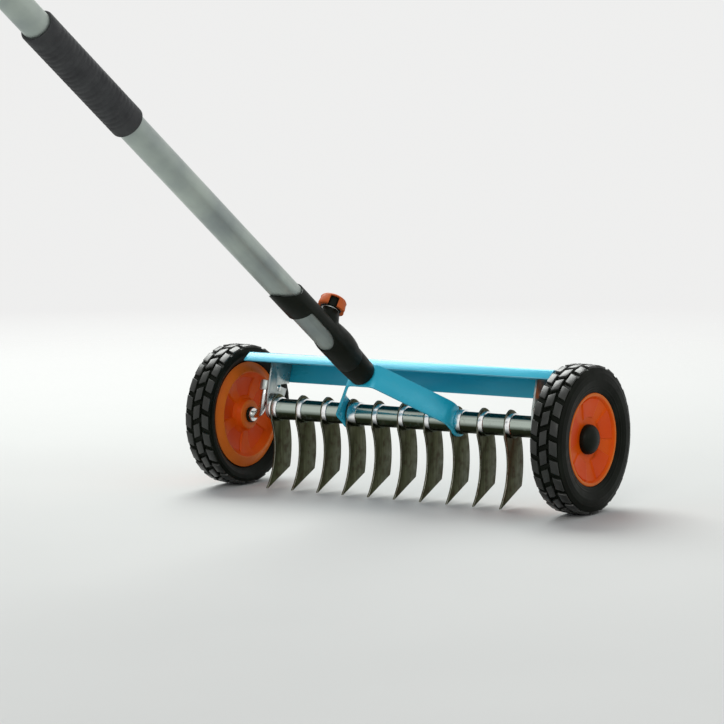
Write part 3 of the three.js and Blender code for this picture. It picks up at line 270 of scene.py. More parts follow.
class Workbench:
    """Modelling moves that the sub-assemblies share. Lengths are in millimetres."""

    @staticmethod
    def rest() -> None:
        """Leave edit mode and deselect every object."""
        if bpy.context.mode != "OBJECT":
            bpy.ops.object.mode_set(mode="OBJECT")
        bpy.ops.object.select_all(action="DESELECT")

    @staticmethod
    def pick(piece: Piece, *others: Piece) -> None:
        """Select some pieces and nothing else.

        Args:
            piece: The piece that becomes active.
            others: The other pieces.
        """
        Workbench.rest()
        for each in (piece, *others):
            each.select_set(True)
        bpy.context.view_layer.objects.active = piece

    @staticmethod
    @contextmanager
    def editing(piece: Piece, part: Part = Part.FACES,
                wanted: Callable[..., bool] | None = None) -> Iterator[None]:
        """Edit a piece's mesh, and leave edit mode at the end.

        Args:
            piece: The piece.
            part: The kind of parts to select from.
            wanted: Says whether a part is selected, or None to select all.

        Returns:
            The stay in edit mode.
        """
        Workbench.pick(piece)
        bpy.ops.object.mode_set(mode="EDIT")
        bpy.ops.mesh.select_all(action="SELECT" if wanted is None else "DESELECT")
        if wanted is not None:
            bpy.ops.object.mode_set(mode="OBJECT")
            for each in getattr(piece.data, part.value):
                each.select = wanted(each)
            bpy.ops.object.mode_set(mode="EDIT")
        yield
        bpy.ops.object.mode_set(mode="OBJECT")

    @staticmethod
    def chain(name: str, points: Sequence[Vector]) -> Piece:
        """Draw a chain of edges by extruding one corner from point to point.

        Args:
            name: The new piece's name.
            points: Places in metres.

        Returns:
            The piece, still in edit mode and all selected.
        """
        Workbench.rest()
        bpy.ops.mesh.primitive_plane_add(size=MM)
        piece = bpy.context.active_object
        piece.name = name
        piece.data.name = name
        bpy.ops.object.mode_set(mode="EDIT")
        bpy.ops.mesh.select_all(action="SELECT")
        bpy.ops.mesh.merge(type="CENTER")
        bpy.ops.transform.translate(value=points[0])
        for before, after in zip(points, points[1:]):
            bpy.ops.mesh.extrude_vertices_move(TRANSFORM_OT_translate={"value": after - before})
        bpy.ops.mesh.select_all(action="SELECT")
        bpy.ops.mesh.remove_doubles(threshold=MERGE_DISTANCE)
        return piece

    @staticmethod
    def turned(name: str, profile: Profile, axis: Axis, sides: int = TURNED_SIDES) -> Piece:
        """Turn a profile about an axis.

        Args:
            name: The new piece's name.
            profile: Pairs of place along the axis and radius. It closes on itself or ends on the axis.
            axis: The axis to turn about.
            sides: Number of facets.

        Returns:
            The closed piece, in object mode.
        """
        on_axis = profile[0][1] == 0 and profile[-1][1] == 0
        points = [axis.point(along, radius) for along, radius in profile]
        piece = Workbench.chain(name, points if on_axis else [*points, points[0]])
        bpy.ops.mesh.select_all(action="SELECT")
        bpy.ops.mesh.spin(steps=sides, angle=FULL_TURN, center=(0, 0, 0), axis=axis.value)
        bpy.ops.mesh.select_all(action="SELECT")
        bpy.ops.mesh.remove_doubles(threshold=MERGE_DISTANCE)
        bpy.ops.mesh.normals_make_consistent(inside=False)
        bpy.ops.object.mode_set(mode="OBJECT")
        return piece

    @staticmethod
    def plate(name: str, outline: Sequence[Pair], start: float, end: float) -> Piece:
        """Extrude an outline in Y and Z along X.

        Args:
            name: The new piece's name.
            outline: Pairs of Y and Z.
            start: Where it begins along X.
            end: Where it ends along X.

        Returns:
            The closed piece, in object mode.
        """
        points = [Vector((start, back, up)) * MM for back, up in outline]
        piece = Workbench.chain(name, [*points, points[0]])
        bpy.ops.mesh.edge_face_add()
        reach = Vector((end - start, 0, 0)) * MM
        bpy.ops.mesh.extrude_region_move(TRANSFORM_OT_translate={"value": reach})
        bpy.ops.mesh.select_all(action="SELECT")
        bpy.ops.mesh.normals_make_consistent(inside=False)
        bpy.ops.object.mode_set(mode="OBJECT")
        return piece

    @staticmethod
    def block(name: str, size: Triple, spot: Sequence[float] = (0, 0, 0)) -> Piece:
        """Add a box to be shaped further.

        Args:
            name: The new piece's name.
            size: Its lengths along X, Y and Z.
            spot: Its middle.

        Returns:
            The box, in object mode, with its size still on the object.
        """
        Workbench.rest()
        bpy.ops.mesh.primitive_cube_add(size=1, location=Vector(spot) * MM, scale=Vector(size) * MM)
        box = bpy.context.active_object
        box.name = name
        return box

    @staticmethod
    def apply(piece: Piece, modifier: bpy.types.Modifier) -> None:
        """Apply one modifier."""
        Workbench.pick(piece)
        bpy.ops.object.modifier_apply(modifier=modifier.name)

    @staticmethod
    def smooth() -> None:
        """Shade the picked piece smooth between its sharp edges."""
        bpy.ops.object.shade_smooth_by_angle(angle=math.radians(SMOOTH_ANGLE))

    @staticmethod
    def break_edges(piece: Piece, width: float, segments: int = 2, wear_and_highlight_slot: int = -1) -> None:
        """Round a piece's sharp edges and shade the rest smooth.

        Args:
            piece: The piece.
            width: Width of the rounding.
            segments: Facets across the rounding.
            wear_and_highlight_slot: Material index of the rounding, whose lighter finish is a painted edge
                highlight, on the knives also edge wear, or -1 for that of its neighbours.
        """
        bevel = piece.modifiers.new("broken_edges", "BEVEL")
        bevel.width = width * MM
        bevel.segments = segments
        bevel.limit_method = "ANGLE"
        bevel.angle_limit = math.radians(EDGE_ANGLE)
        bevel.material = wear_and_highlight_slot
        Workbench.apply(piece, bevel)
        Workbench.smooth()

    @staticmethod
    def remove(piece: Piece) -> None:
        """Delete a piece that has served its purpose."""
        Workbench.pick(piece)
        bpy.ops.object.delete()

    @staticmethod
    def combine(piece: Piece, tool: Piece, way: Merge = Merge.CUT) -> None:
        """Cut a piece with a tool, or weld the two, and remove the tool.

        Args:
            piece: The piece that stays.
            tool: The piece that goes into it.
            way: Whether it is cut or welded.
        """
        boolean = piece.modifiers.new("cut", "BOOLEAN")
        boolean.operation = way.value
        boolean.solver = "EXACT"
        boolean.object = tool
        Workbench.apply(piece, boolean)
        Workbench.remove(tool)
        with Workbench.editing(piece):
            bpy.ops.mesh.remove_doubles(threshold=MERGE_DISTANCE)

    @staticmethod
    def fix_place(piece: Piece) -> Piece:
        """Move what a piece's object says of its place, turn and size into its mesh.

        Args:
            piece: The piece.

        Returns:
            The same piece.
        """
        Workbench.pick(piece)
        bpy.ops.object.transform_apply(location=True, rotation=True, scale=True)
        return piece

    @staticmethod
    def place(piece: Piece, turn: Triple = (0, 0, 0), spot: Sequence[float] = (0, 0, 0)) -> Piece:
        """Turn and move a piece, and keep its place in its mesh.

        Args:
            piece: The piece.
            turn: Angles about X, Y and Z.
            spot: Where its origin goes.

        Returns:
            The same piece.
        """
        piece.rotation_euler = turn
        piece.location = Vector(spot) * MM
        return Workbench.fix_place(piece)

    @staticmethod
    def mirror(piece: Piece) -> None:
        """Mirror a piece to the other side of X = 0.

        Args:
            piece: The piece.
        """
        piece.scale = (-1, 1, 1)
        with Workbench.editing(Workbench.fix_place(piece)):
            bpy.ops.mesh.normals_make_consistent(inside=False)

    @staticmethod
    def copy(piece: Piece, name: str) -> Piece:
        """Copy a piece with a mesh of its own.

        Args:
            piece: The piece.
            name: The copy's name.

        Returns:
            The copy.
        """
        Workbench.pick(piece)
        bpy.ops.object.duplicate(linked=False)
        twin = bpy.context.active_object
        twin.name = name
        twin.data.name = name
        return twin

    @staticmethod
    def join(piece: Piece, *others: Piece) -> None:
        """Join loose pieces into the first one."""
        Workbench.pick(piece, *others)
        bpy.ops.object.join()

    @staticmethod
    def taken(node: str, name: str) -> Piece:
        """Copy a frame node's mesh, with its loose triangles merged.

        Args:
            node: The node's name.
            name: The new piece's name.

        Returns:
            The free copy, at the origin with its place in its mesh.
        """
        twin = Workbench.copy(frame["nodes"][node], name)
        bpy.ops.object.parent_clear(type="CLEAR_KEEP_TRANSFORM")
        Workbench.fix_place(twin)
        for key in list(twin.keys()):
            del twin[key]
        with Workbench.editing(twin):
            bpy.ops.mesh.remove_doubles(threshold=MERGE_DISTANCE)
            bpy.ops.mesh.dissolve_limited(angle_limit=math.radians(FLAT_ANGLE))
        return twin


class NodeSheet:
    """A material's node tree with short ways to add and link its nodes."""

    def __init__(self, name: str) -> None:
        """Start a material.

        Args:
            name: The material's name.
        """
        self.material = bpy.data.materials.new(name)
        self.material.use_nodes = True
        self.tree = self.material.node_tree
        self.shader = self.tree.nodes["Principled BSDF"]
        self.place = self.add("ShaderNodeTexCoord").outputs["Object"]

    def add(self, kind: str, **sockets: object) -> bpy.types.Node:
        """Add a node.

        Args:
            kind: Its type.
            sockets: Values of its inputs by name, with _ for each space.

        Returns:
            The node.
        """
        node = self.tree.nodes.new(kind)
        for name, value in sockets.items():
            node.inputs[name.replace("_", " ")].default_value = value
        return node

    def link(self, source: Socket, target: Socket) -> None:
        """Link two sockets."""
        self.tree.links.new(source, target)

    def mapped(self, stretch: Triple, turn: Triple = (0, 0, 0)) -> Socket:
        """Object coordinates turned, then stretched.

        Args:
            stretch: Factors along X, Y and Z.
            turn: Angles about X, Y and Z.

        Returns:
            The coordinates.
        """
        turned = self.add("ShaderNodeMapping", Rotation=turn)
        self.link(self.place, turned.inputs["Vector"])
        stretched = self.add("ShaderNodeMapping", Scale=stretch)
        self.link(turned.outputs["Vector"], stretched.inputs["Vector"])
        return stretched.outputs["Vector"]

    def noise(self, scale: float, detail: float = 4.0, place: Socket | None = None) -> Socket:
        """Noise over the surface.

        Args:
            scale: Waves per metre.
            detail: Octaves.
            place: Coordinates, or None for plain object coordinates.

        Returns:
            The factor, about 0.3 to 0.7.
        """
        node = self.add("ShaderNodeTexNoise", Scale=scale, Detail=detail)
        self.link(place or self.place, node.inputs["Vector"])
        return node.outputs["Fac"]

    def cells(self, scale: float) -> Socket:
        """A flat random grey for each cell of a cell pattern.

        Args:
            scale: Cells per metre.

        Returns:
            The factor, from 0 to 1.
        """
        node = self.add("ShaderNodeTexVoronoi", Scale=scale)
        self.link(self.place, node.inputs["Vector"])
        split = self.add("ShaderNodeSeparateColor")
        self.link(node.outputs["Color"], split.inputs["Color"])
        return split.outputs["Red"]

    def spread(self, factor: Socket, low: float, high: float, to_low: float = 0.0,
               to_high: float = 1.0) -> Socket:
        """Map a range of a factor to another range.

        Args:
            factor: The factor.
            low: Start of its range.
            high: End of its range.
            to_low: What the start becomes.
            to_high: What the end becomes.

        Returns:
            The mapped factor.
        """
        node = self.add("ShaderNodeMapRange", From_Min=low, From_Max=high, To_Min=to_low, To_Max=to_high)
        self.link(factor, node.inputs["Value"])
        return node.outputs["Result"]

    def blend(self, factor: Socket, first: Colour | Socket, second: Colour | Socket) -> Socket:
        """Blend two colours.

        Args:
            factor: Share of the second one.
            first: A colour or a socket.
            second: A colour or a socket.

        Returns:
            The blended colour.
        """
        node = self.tree.nodes.new("ShaderNodeMix")
        node.data_type = "RGBA"
        self.link(factor, node.inputs[0])
        for index, value in ((6, first), (7, second)):
            if isinstance(value, Socket):
                self.link(value, node.inputs[index])
            else:
                node.inputs[index].default_value = (*value, 1.0)
        return node.outputs[2]

    def patches(self, ground: Colour | Socket, cover: Colour, factor: Socket, start: float, full: float,
                share: float = 1.0) -> Socket:
        """Cover the ground colour from where a factor passes start, up to a full share of the cover."""
        return self.blend(self.spread(factor, start, full, 0, share), ground, cover)

    def height_share(self, low: float, high: float) -> Socket:
        """A factor that rises from 0 at one height to 1 at another.

        Args:
            low: Millimetres over the ground where it starts.
            high: Millimetres over the ground where it ends.

        Returns:
            The factor.
        """
        split = self.add("ShaderNodeSeparateXYZ")
        self.link(self.place, split.inputs["Vector"])
        return self.spread(split.outputs["Z"], low * MM, high * MM)

    def bump(self, height: Socket, strength: float, depth: float) -> Socket:
        """Bump from a height factor.

        Args:
            height: The factor.
            strength: Its strength, from 0 to 1.
            depth: Depth in millimetres.

        Returns:
            The normal.
        """
        node = self.add("ShaderNodeBump", Strength=strength, Distance=depth * MM)
        self.link(height, node.inputs["Height"])
        return node.outputs["Normal"]

    def finish(self, colour: Socket, roughness: Socket, normal: Socket, **plain: float) -> Material:
        """Link the shader's sockets and set its plain ones.

        Args:
            colour: Its base colour.
            roughness: Its roughness.
            normal: Its normal.
            plain: Values of other inputs by name, with _ for each space.

        Returns:
            The material.
        """
        for name, source in (("Base Color", colour), ("Roughness", roughness), ("Normal", normal)):
            self.link(source, self.shader.inputs[name])
        for name, value in plain.items():
            self.shader.inputs[name.replace("_", " ")].default_value = value
        return self.material


@dataclass(frozen=True)
class Finish:
    """A finish for one slot of the record."""

    name: str
    slot: str

    def build(self) -> Material:
        """Make the material."""
        raise NotImplementedError


@dataclass(frozen=True)
class TyreRubber(Finish):
    """Black rubber with a dull bloom and lighter dust in its pores; on the tread the lighter colour is partly
    dust and partly painted sheen.
    """

    name: str = "tyre_side_rubber"
    slot: str = "tyre_rubber"
    rubber: Colour = (0.0040, 0.0052, 0.0032)
    bloom: Colour = (0.0090, 0.0115, 0.0078)
    dust_and_sheen: Colour = (0.028, 0.032, 0.019)
    sheen: float = 0.05
    gloss: float = 0.32

    def build(self) -> Material:
        """Make the material.

        Returns:
            The material.
        """
        sheet = NodeSheet(self.name)
        pores = sheet.noise(900, 6)
        colour = sheet.patches(self.rubber, self.bloom, sheet.noise(45), 0.42, 0.72)
        # Lighter dust in the pores; on the tread it is partly painted sheen.
        colour = sheet.patches(colour, self.dust_and_sheen, pores, 0.62, 0.86, share=0.55)
        roughness = sheet.spread(sheet.noise(120), NOISE_LOW, NOISE_HIGH, self.gloss, self.gloss + 0.14)
        return sheet.finish(colour, roughness, sheet.bump(pores, 0.4, 0.14), Specular_IOR_Level=self.sheen)


@dataclass(frozen=True)
class MouldedPlastic(Finish):
    """Moulded plastic with slight shade changes, fine grain and specks of soil."""

    base: Colour
    shade: Colour
    soil: Colour = (0.10, 0.045, 0.018)
    gloss: float = 0.34
    grain: float = 1400.0
    grain_depth: float = 0.05
    soil_share: float = 0.35
    sheen: float = 0.10

    def build(self) -> Material:
        """Make the material.

        Returns:
            The material.
        """
        sheet = NodeSheet(self.name)
        colour = sheet.patches(self.base, self.shade, sheet.noise(28, 3), 0.35, 0.65)
        colour = sheet.patches(colour, self.soil, sheet.noise(420, 7), 0.66, 0.8, self.soil_share)
        dull = sheet.noise(75, 5)
        roughness = sheet.spread(dull, NOISE_LOW, NOISE_HIGH, self.gloss - 0.06, self.gloss + 0.12)
        grain = sheet.bump(sheet.noise(self.grain, 3), 0.35, self.grain_depth)
        return sheet.finish(colour, roughness, grain, Specular_IOR_Level=self.sheen)


@dataclass(frozen=True)
class GripRubber(Finish):
    """Dark grey foam rubber with open pores, painted darker in their hollows as shade."""

    name: str = "grip_foam_rubber"
    slot: str = "grip_rubber"
    base: Colour = (0.016, 0.017, 0.019)
    worn: Colour = (0.032, 0.034, 0.036)
    pore: Colour = (0.008, 0.009, 0.010)

    def build(self) -> Material:
        """Make the material.

        Returns:
            The material.
        """
        sheet = NodeSheet(self.name)
        pores = sheet.noise(1600, 5)
        colour = sheet.patches(self.base, self.worn, sheet.noise(60), 0.35, 0.7)
        # The pores take a darker colour: painted shade in their hollows.
        colour = sheet.blend(sheet.spread(pores, 0.3, 0.48, 0.6, 0), colour, self.pore)
        roughness = sheet.spread(sheet.noise(90), NOISE_LOW, NOISE_HIGH, 0.62, 0.85)
        return sheet.finish(colour, roughness, sheet.bump(pores, 0.6, 0.25))


@dataclass(frozen=True)
class BluePaint(Finish):
    """Gloss stove paint with a faint orange peel, dulled where use rubs it."""

    name: str = "channel_blue_paint"
    slot: str = "blue_paint"
    base: Colour = (0.010, 0.410, 0.585)
    pale: Colour = (0.018, 0.450, 0.635)
    scuff: Colour = (0.085, 0.43, 0.55)
    gloss: float = 0.30
    streak: Triple = (0.18, 1, 1)

    def build(self) -> Material:
        """Make the material.

        Returns:
            The material.
        """
        sheet = NodeSheet(self.name)
        streaks = sheet.noise(60, 6, sheet.mapped(self.streak))
        colour = sheet.patches(self.base, self.pale, sheet.noise(16, 3), 0.35, 0.68)
        colour = sheet.patches(colour, self.scuff, streaks, 0.58, 0.8, share=0.45)
        roughness = sheet.spread(streaks, 0.35, 0.75, self.gloss - 0.06, self.gloss + 0.2)
        peel = sheet.bump(sheet.noise(520, 2), 0.18, 0.08)
        return sheet.finish(colour, roughness, peel, Metallic=0.1, Coat_Weight=0.22, Coat_Roughness=0.2,
                            Specular_IOR_Level=0.3)


@dataclass(frozen=True)
class ZincSheet(Finish):
    """Galvanised sheet with a spangle and grey bloom."""

    name: str = "side_plate_zinc"
    slot: str = "zinc"
    base: Colour = (0.44, 0.48, 0.47)
    bloom: Colour = (0.27, 0.30, 0.28)
    bright: Colour = (0.62, 0.65, 0.64)
    spangle: float = 240.0

    def build(self) -> Material:
        """Make the material.

        Returns:
            The material.
        """
        sheet = NodeSheet(self.name)
        cells = sheet.cells(self.spangle)
        bloom = sheet.noise(70, 5)
        colour = sheet.patches(self.base, self.bloom, bloom, 0.42, 0.7)
        colour = sheet.patches(colour, self.bright, cells, 0, 1, share=0.3)
        roughness = sheet.spread(cells, 0, 1, 0.26, 0.44)
        return sheet.finish(colour, roughness, sheet.bump(bloom, 0.2, 0.1), Metallic=0.9)


@dataclass(frozen=True)
class TurnedSteel(Finish):
    """Bright turned steel with tool lines round its axis, a painted dark reflection on its lower side and a
    painted dark reflection on its top.
    """

    name: str = "spacer_bright_steel"
    slot: str = "bright_steel"
    base: Colour = (0.42, 0.48, 0.43)
    # Painted dark reflection: the colour that the lower side takes below the given heights.
    dark_reflection: Colour = (0.028, 0.036, 0.018)
    cloud: Colour = (0.16, 0.15, 0.12)
    gloss: float = 0.12
    dark_reflection_low: float = 81.0
    dark_reflection_high: float = 85.0
    # Painted dark reflection on the top, above the given heights.
    top_reflection: Colour = (0.045, 0.062, 0.054)
    top_reflection_share: float = 0.9
    top_reflection_low: float = 89.5
    top_reflection_high: float = 92.5
    line_strength: float = 0.12
    line_stretch: Triple = (2600, 30, 30)

    def build(self) -> Material:
        """Make the material.

        Returns:
            The material.
        """
        sheet = NodeSheet(self.name)
        cloud = sheet.noise(150, 6)
        # Painted dark reflection: darker below the given height, in cloudy patches.
        dark_reflection_mask = sheet.spread(sheet.height_share(self.dark_reflection_low, self.dark_reflection_high), 0, 1, 1, 0)
        patchy = sheet.add("ShaderNodeMath")
        patchy.operation = "MULTIPLY"
        sheet.link(dark_reflection_mask, patchy.inputs[0])
        sheet.link(sheet.spread(cloud, 0.22, 0.42, 0.8, 1), patchy.inputs[1])
        colour = sheet.blend(patchy.outputs[0], self.base, self.dark_reflection)
        colour = sheet.patches(colour, self.cloud, cloud, 0.6, 0.85, share=0.5)
        # Painted dark reflection on the top, where the tube mirrors the shaded channel.
        top = sheet.height_share(self.top_reflection_low, self.top_reflection_high)
        colour = sheet.patches(colour, self.top_reflection, top, 0, 1, self.top_reflection_share)
        roughness = sheet.spread(cloud, 0.3, 0.75, self.gloss, self.gloss + 0.16)
        lines = sheet.bump(sheet.noise(1.0, 3, sheet.mapped(self.line_stretch)), self.line_strength, 0.03)
        return sheet.finish(colour, roughness, lines, Metallic=1.0)


@dataclass(frozen=True)
class KnifeSteel(Finish):
    """Dark rolled spring steel, rubbed brown and green in use."""

    name: str = "knife_dark_steel"
    slot: str = "knife_steel"
    base: Colour = (0.042, 0.046, 0.017)
    rust: Colour = (0.040, 0.029, 0.010)
    rub: Colour = (0.074, 0.080, 0.038)
    gloss: float = 0.38
    stroke: Triple = (40, 420, 24)

    def build(self) -> Material:
        """Make the material.

        Returns:
            The material.
        """
        sheet = NodeSheet(self.name)
        scale = sheet.noise(130, 8)
        strokes = sheet.noise(1.0, 4, sheet.mapped(self.stroke))
        colour = sheet.patches(self.base, self.rub, strokes, 0.45, 0.75)
        colour = sheet.patches(colour, self.rust, scale, 0.52, 0.68, share=0.8)
        roughness = sheet.spread(scale, NOISE_LOW, NOISE_HIGH, self.gloss - 0.08, self.gloss + 0.25)
        return sheet.finish(colour, roughness, sheet.bump(scale, 0.3, 0.08), Metallic=0.85)


@dataclass(frozen=True)
class PoleAluminium(Finish):
    """Drawn aluminium tube with fine lines along it."""

    name: str = "pole_drawn_aluminium"
    slot: str = "pole_aluminium"
    base: Colour = (0.400, 0.455, 0.412)
    cool: Colour = (0.265, 0.305, 0.300)
    line: Colour = (0.50, 0.52, 0.51)
    rub: Colour = (0.14, 0.15, 0.14)
    line_stretch: Triple = (900, 900, 6)

    def build(self) -> Material:
        """Make the material.

        Returns:
            The material.
        """
        sheet = NodeSheet(self.name)
        along = (-DATUM.handle_turn[0], 0, 0)
        lines = sheet.noise(1.0, 5, sheet.mapped(self.line_stretch, along))
        colour = sheet.patches(self.base, self.cool, sheet.noise(22, 4), 0.35, 0.7)
        colour = sheet.patches(colour, self.line, lines, 0.55, 0.8, share=0.35)
        colour = sheet.patches(colour, self.rub, sheet.noise(500, 6), 0.68, 0.84, share=0.4)
        roughness = sheet.spread(lines, NOISE_LOW, NOISE_HIGH, 0.34, 0.50)
        return sheet.finish(colour, roughness, sheet.bump(lines, 0.1, 0.03), Metallic=0.8)


class Palette:
    """The finishes that the pieces share, each built once."""

    def __init__(self) -> None:
        """Build every finish."""
        self.slots: dict[str, str] = {}
        self.tyre = self.keep(TyreRubber())
        # The tread's lighter dust is partly real dust and partly painted sheen.
        self.tread = self.keep(TyreRubber("tyre_tread_polished_in_use", dust_and_sheen=(0.062, 0.071, 0.053),
                                          sheen=0.5, gloss=0.27))
        self.rim = self.keep(MouldedPlastic("rim_orange_plastic", "orange_plastic",
                                            base=(0.74, 0.098, 0.0016), shade=(0.69, 0.080, 0.0015)))
        # A darker orange for the dish's lobes: painted shade.
        self.rim_lobe = self.keep(MouldedPlastic("rim_lobe_painted_shade", "orange_plastic",
                                                 base=(0.72, 0.074, 0.0016), shade=(0.67, 0.060, 0.0015)))
        # A lighter orange painted as highlight on the rim's lip, cap seat, land and boss.
        self.rim_highlight = self.keep(MouldedPlastic("rim_painted_highlight", "orange_plastic",
                                                 base=(0.70, 0.165, 0.020), shade=(0.66, 0.130, 0.014),
                                                 gloss=0.3))
        self.knob = self.keep(MouldedPlastic("knob_burnt_orange", "knob_orange", base=(0.60, 0.135, 0.036),
                                             shade=(0.52, 0.105, 0.026), gloss=0.42, grain_depth=0.09))
        self.black = self.keep(MouldedPlastic("sleeve_black_plastic", "black_plastic",
                                              base=(0.0050, 0.0068, 0.0042), shade=(0.0085, 0.0110, 0.0075),
                                              soil=(0.02, 0.022, 0.015), gloss=0.36, grain_depth=0.06,
                                              sheen=0.08))
        self.grip = self.keep(GripRubber())
        self.paint = self.keep(BluePaint())
        # A lighter blue on the broken edges: painted edge highlight.
        self.highlit_paint_edge = self.keep(BluePaint("paint_thin_edge", base=(0.16, 0.46, 0.62),
                                              pale=(0.28, 0.56, 0.70), gloss=0.3))
        self.zinc = self.keep(ZincSheet())
        # A brighter zinc on the broken edges: painted edge highlight.
        self.highlit_zinc_edge = self.keep(ZincSheet("zinc_sheared_edge", base=(0.66, 0.70, 0.69),
                                             bloom=(0.5, 0.53, 0.51), spangle=500.0))
        self.steel = self.keep(TurnedSteel())
        # The flange's painted dark reflection starts lower, and it has none on top.
        self.flange = self.keep(TurnedSteel("flange_polished_steel", base=(0.97, 0.97, 0.97), gloss=0.24,
                                            top_reflection_share=0.0, dark_reflection_low=76.0, dark_reflection_high=82.0))
        # For the rod, the painted dark reflection ends 20 mm above the ground and there is none on top.
        self.rod = self.keep(TurnedSteel("rod_bright_steel", base=(0.72, 0.74, 0.73), gloss=0.17,
                                         top_reflection_share=0.0, dark_reflection_low=0.0, dark_reflection_high=20.0, line_strength=0.02))
        self.knife = self.keep(KnifeSteel())
        # A brighter steel on the knives' broken edges: edge wear and painted highlight.
        self.highlit_knife_edge = self.keep(KnifeSteel("knife_ground_edge", base=(0.24, 0.24, 0.20),
                                               rust=(0.10, 0.07, 0.045), rub=(0.36, 0.36, 0.33), gloss=0.26))
        self.pole = self.keep(PoleAluminium())

    def keep(self, finish: Finish) -> Material:
        """Build a finish and remember its slot.

        Args:
            finish: The finish.

        Returns:
            Its material.
        """
        material = finish.build()
        self.slots[material.name] = finish.slot
        return material


@dataclass(frozen=True)
class SubAssembly:
    """What all sub-assemblies do with a piece once it is modelled."""

    palette: Palette

    def dress(self, piece: Piece, *materials: Material) -> None:
        """Give a piece its materials.

        Args:
            piece: The piece.
            materials: Its materials, the main one first.
        """
        piece.data.materials.clear()
        for material in materials:
            piece.data.materials.append(material)

    def settle(self, piece: Piece, body: Body, *nodes: str) -> None:
        """Let a piece ride on its body in place of its nodes, and report it.

        Args:
            piece: The finished piece.
            body: The body that it rides on.
            nodes: The nodes that it stands for.
        """
        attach(piece, body.value)
        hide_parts(*nodes)
        LOG.info("%s rides on %s for %s", piece.name, body.value, ", ".join(nodes))

    def refined(self, node: str, name: str, body: Body, materials: Sequence[Material], width: float) -> None:
        """Model a sheet piece from its node, with its edges broken.

        Args:
            node: The node that the piece refines and stands for.
            name: The new piece's name.
            body: The body that it rides on.
            materials: The main finish, then the lighter one of the broken edges, a painted edge highlight, if
                they differ.
            width: Width of the broken edges.
        """
        piece = Workbench.taken(node, name)
        self.dress(piece, *materials)
        Workbench.break_edges(piece, width, wear_and_highlight_slot=1 if len(materials) > 1 else -1)
        self.settle(piece, body, node)

    def turned(self, name: str, profile: Profile, axis: Axis, material: Material, width: float = 0.3,
               sides: int = TURNED_SIDES, segments: int = 2) -> Piece:
        """Turn a piece, dress it and break its edges.

        Args:
            name: The new piece's name.
            profile: Pairs of place along the axis and radius.
            axis: The axis to turn about.
            material: Its finish.
            width: Width of the broken edges.
            sides: Number of facets.
            segments: Facets across a broken edge.

        Returns:
            The piece, about its own axis.
        """
        piece = Workbench.turned(name, profile, axis, sides)
        self.dress(piece, material)
        Workbench.break_edges(piece, width, segments)
        return piece


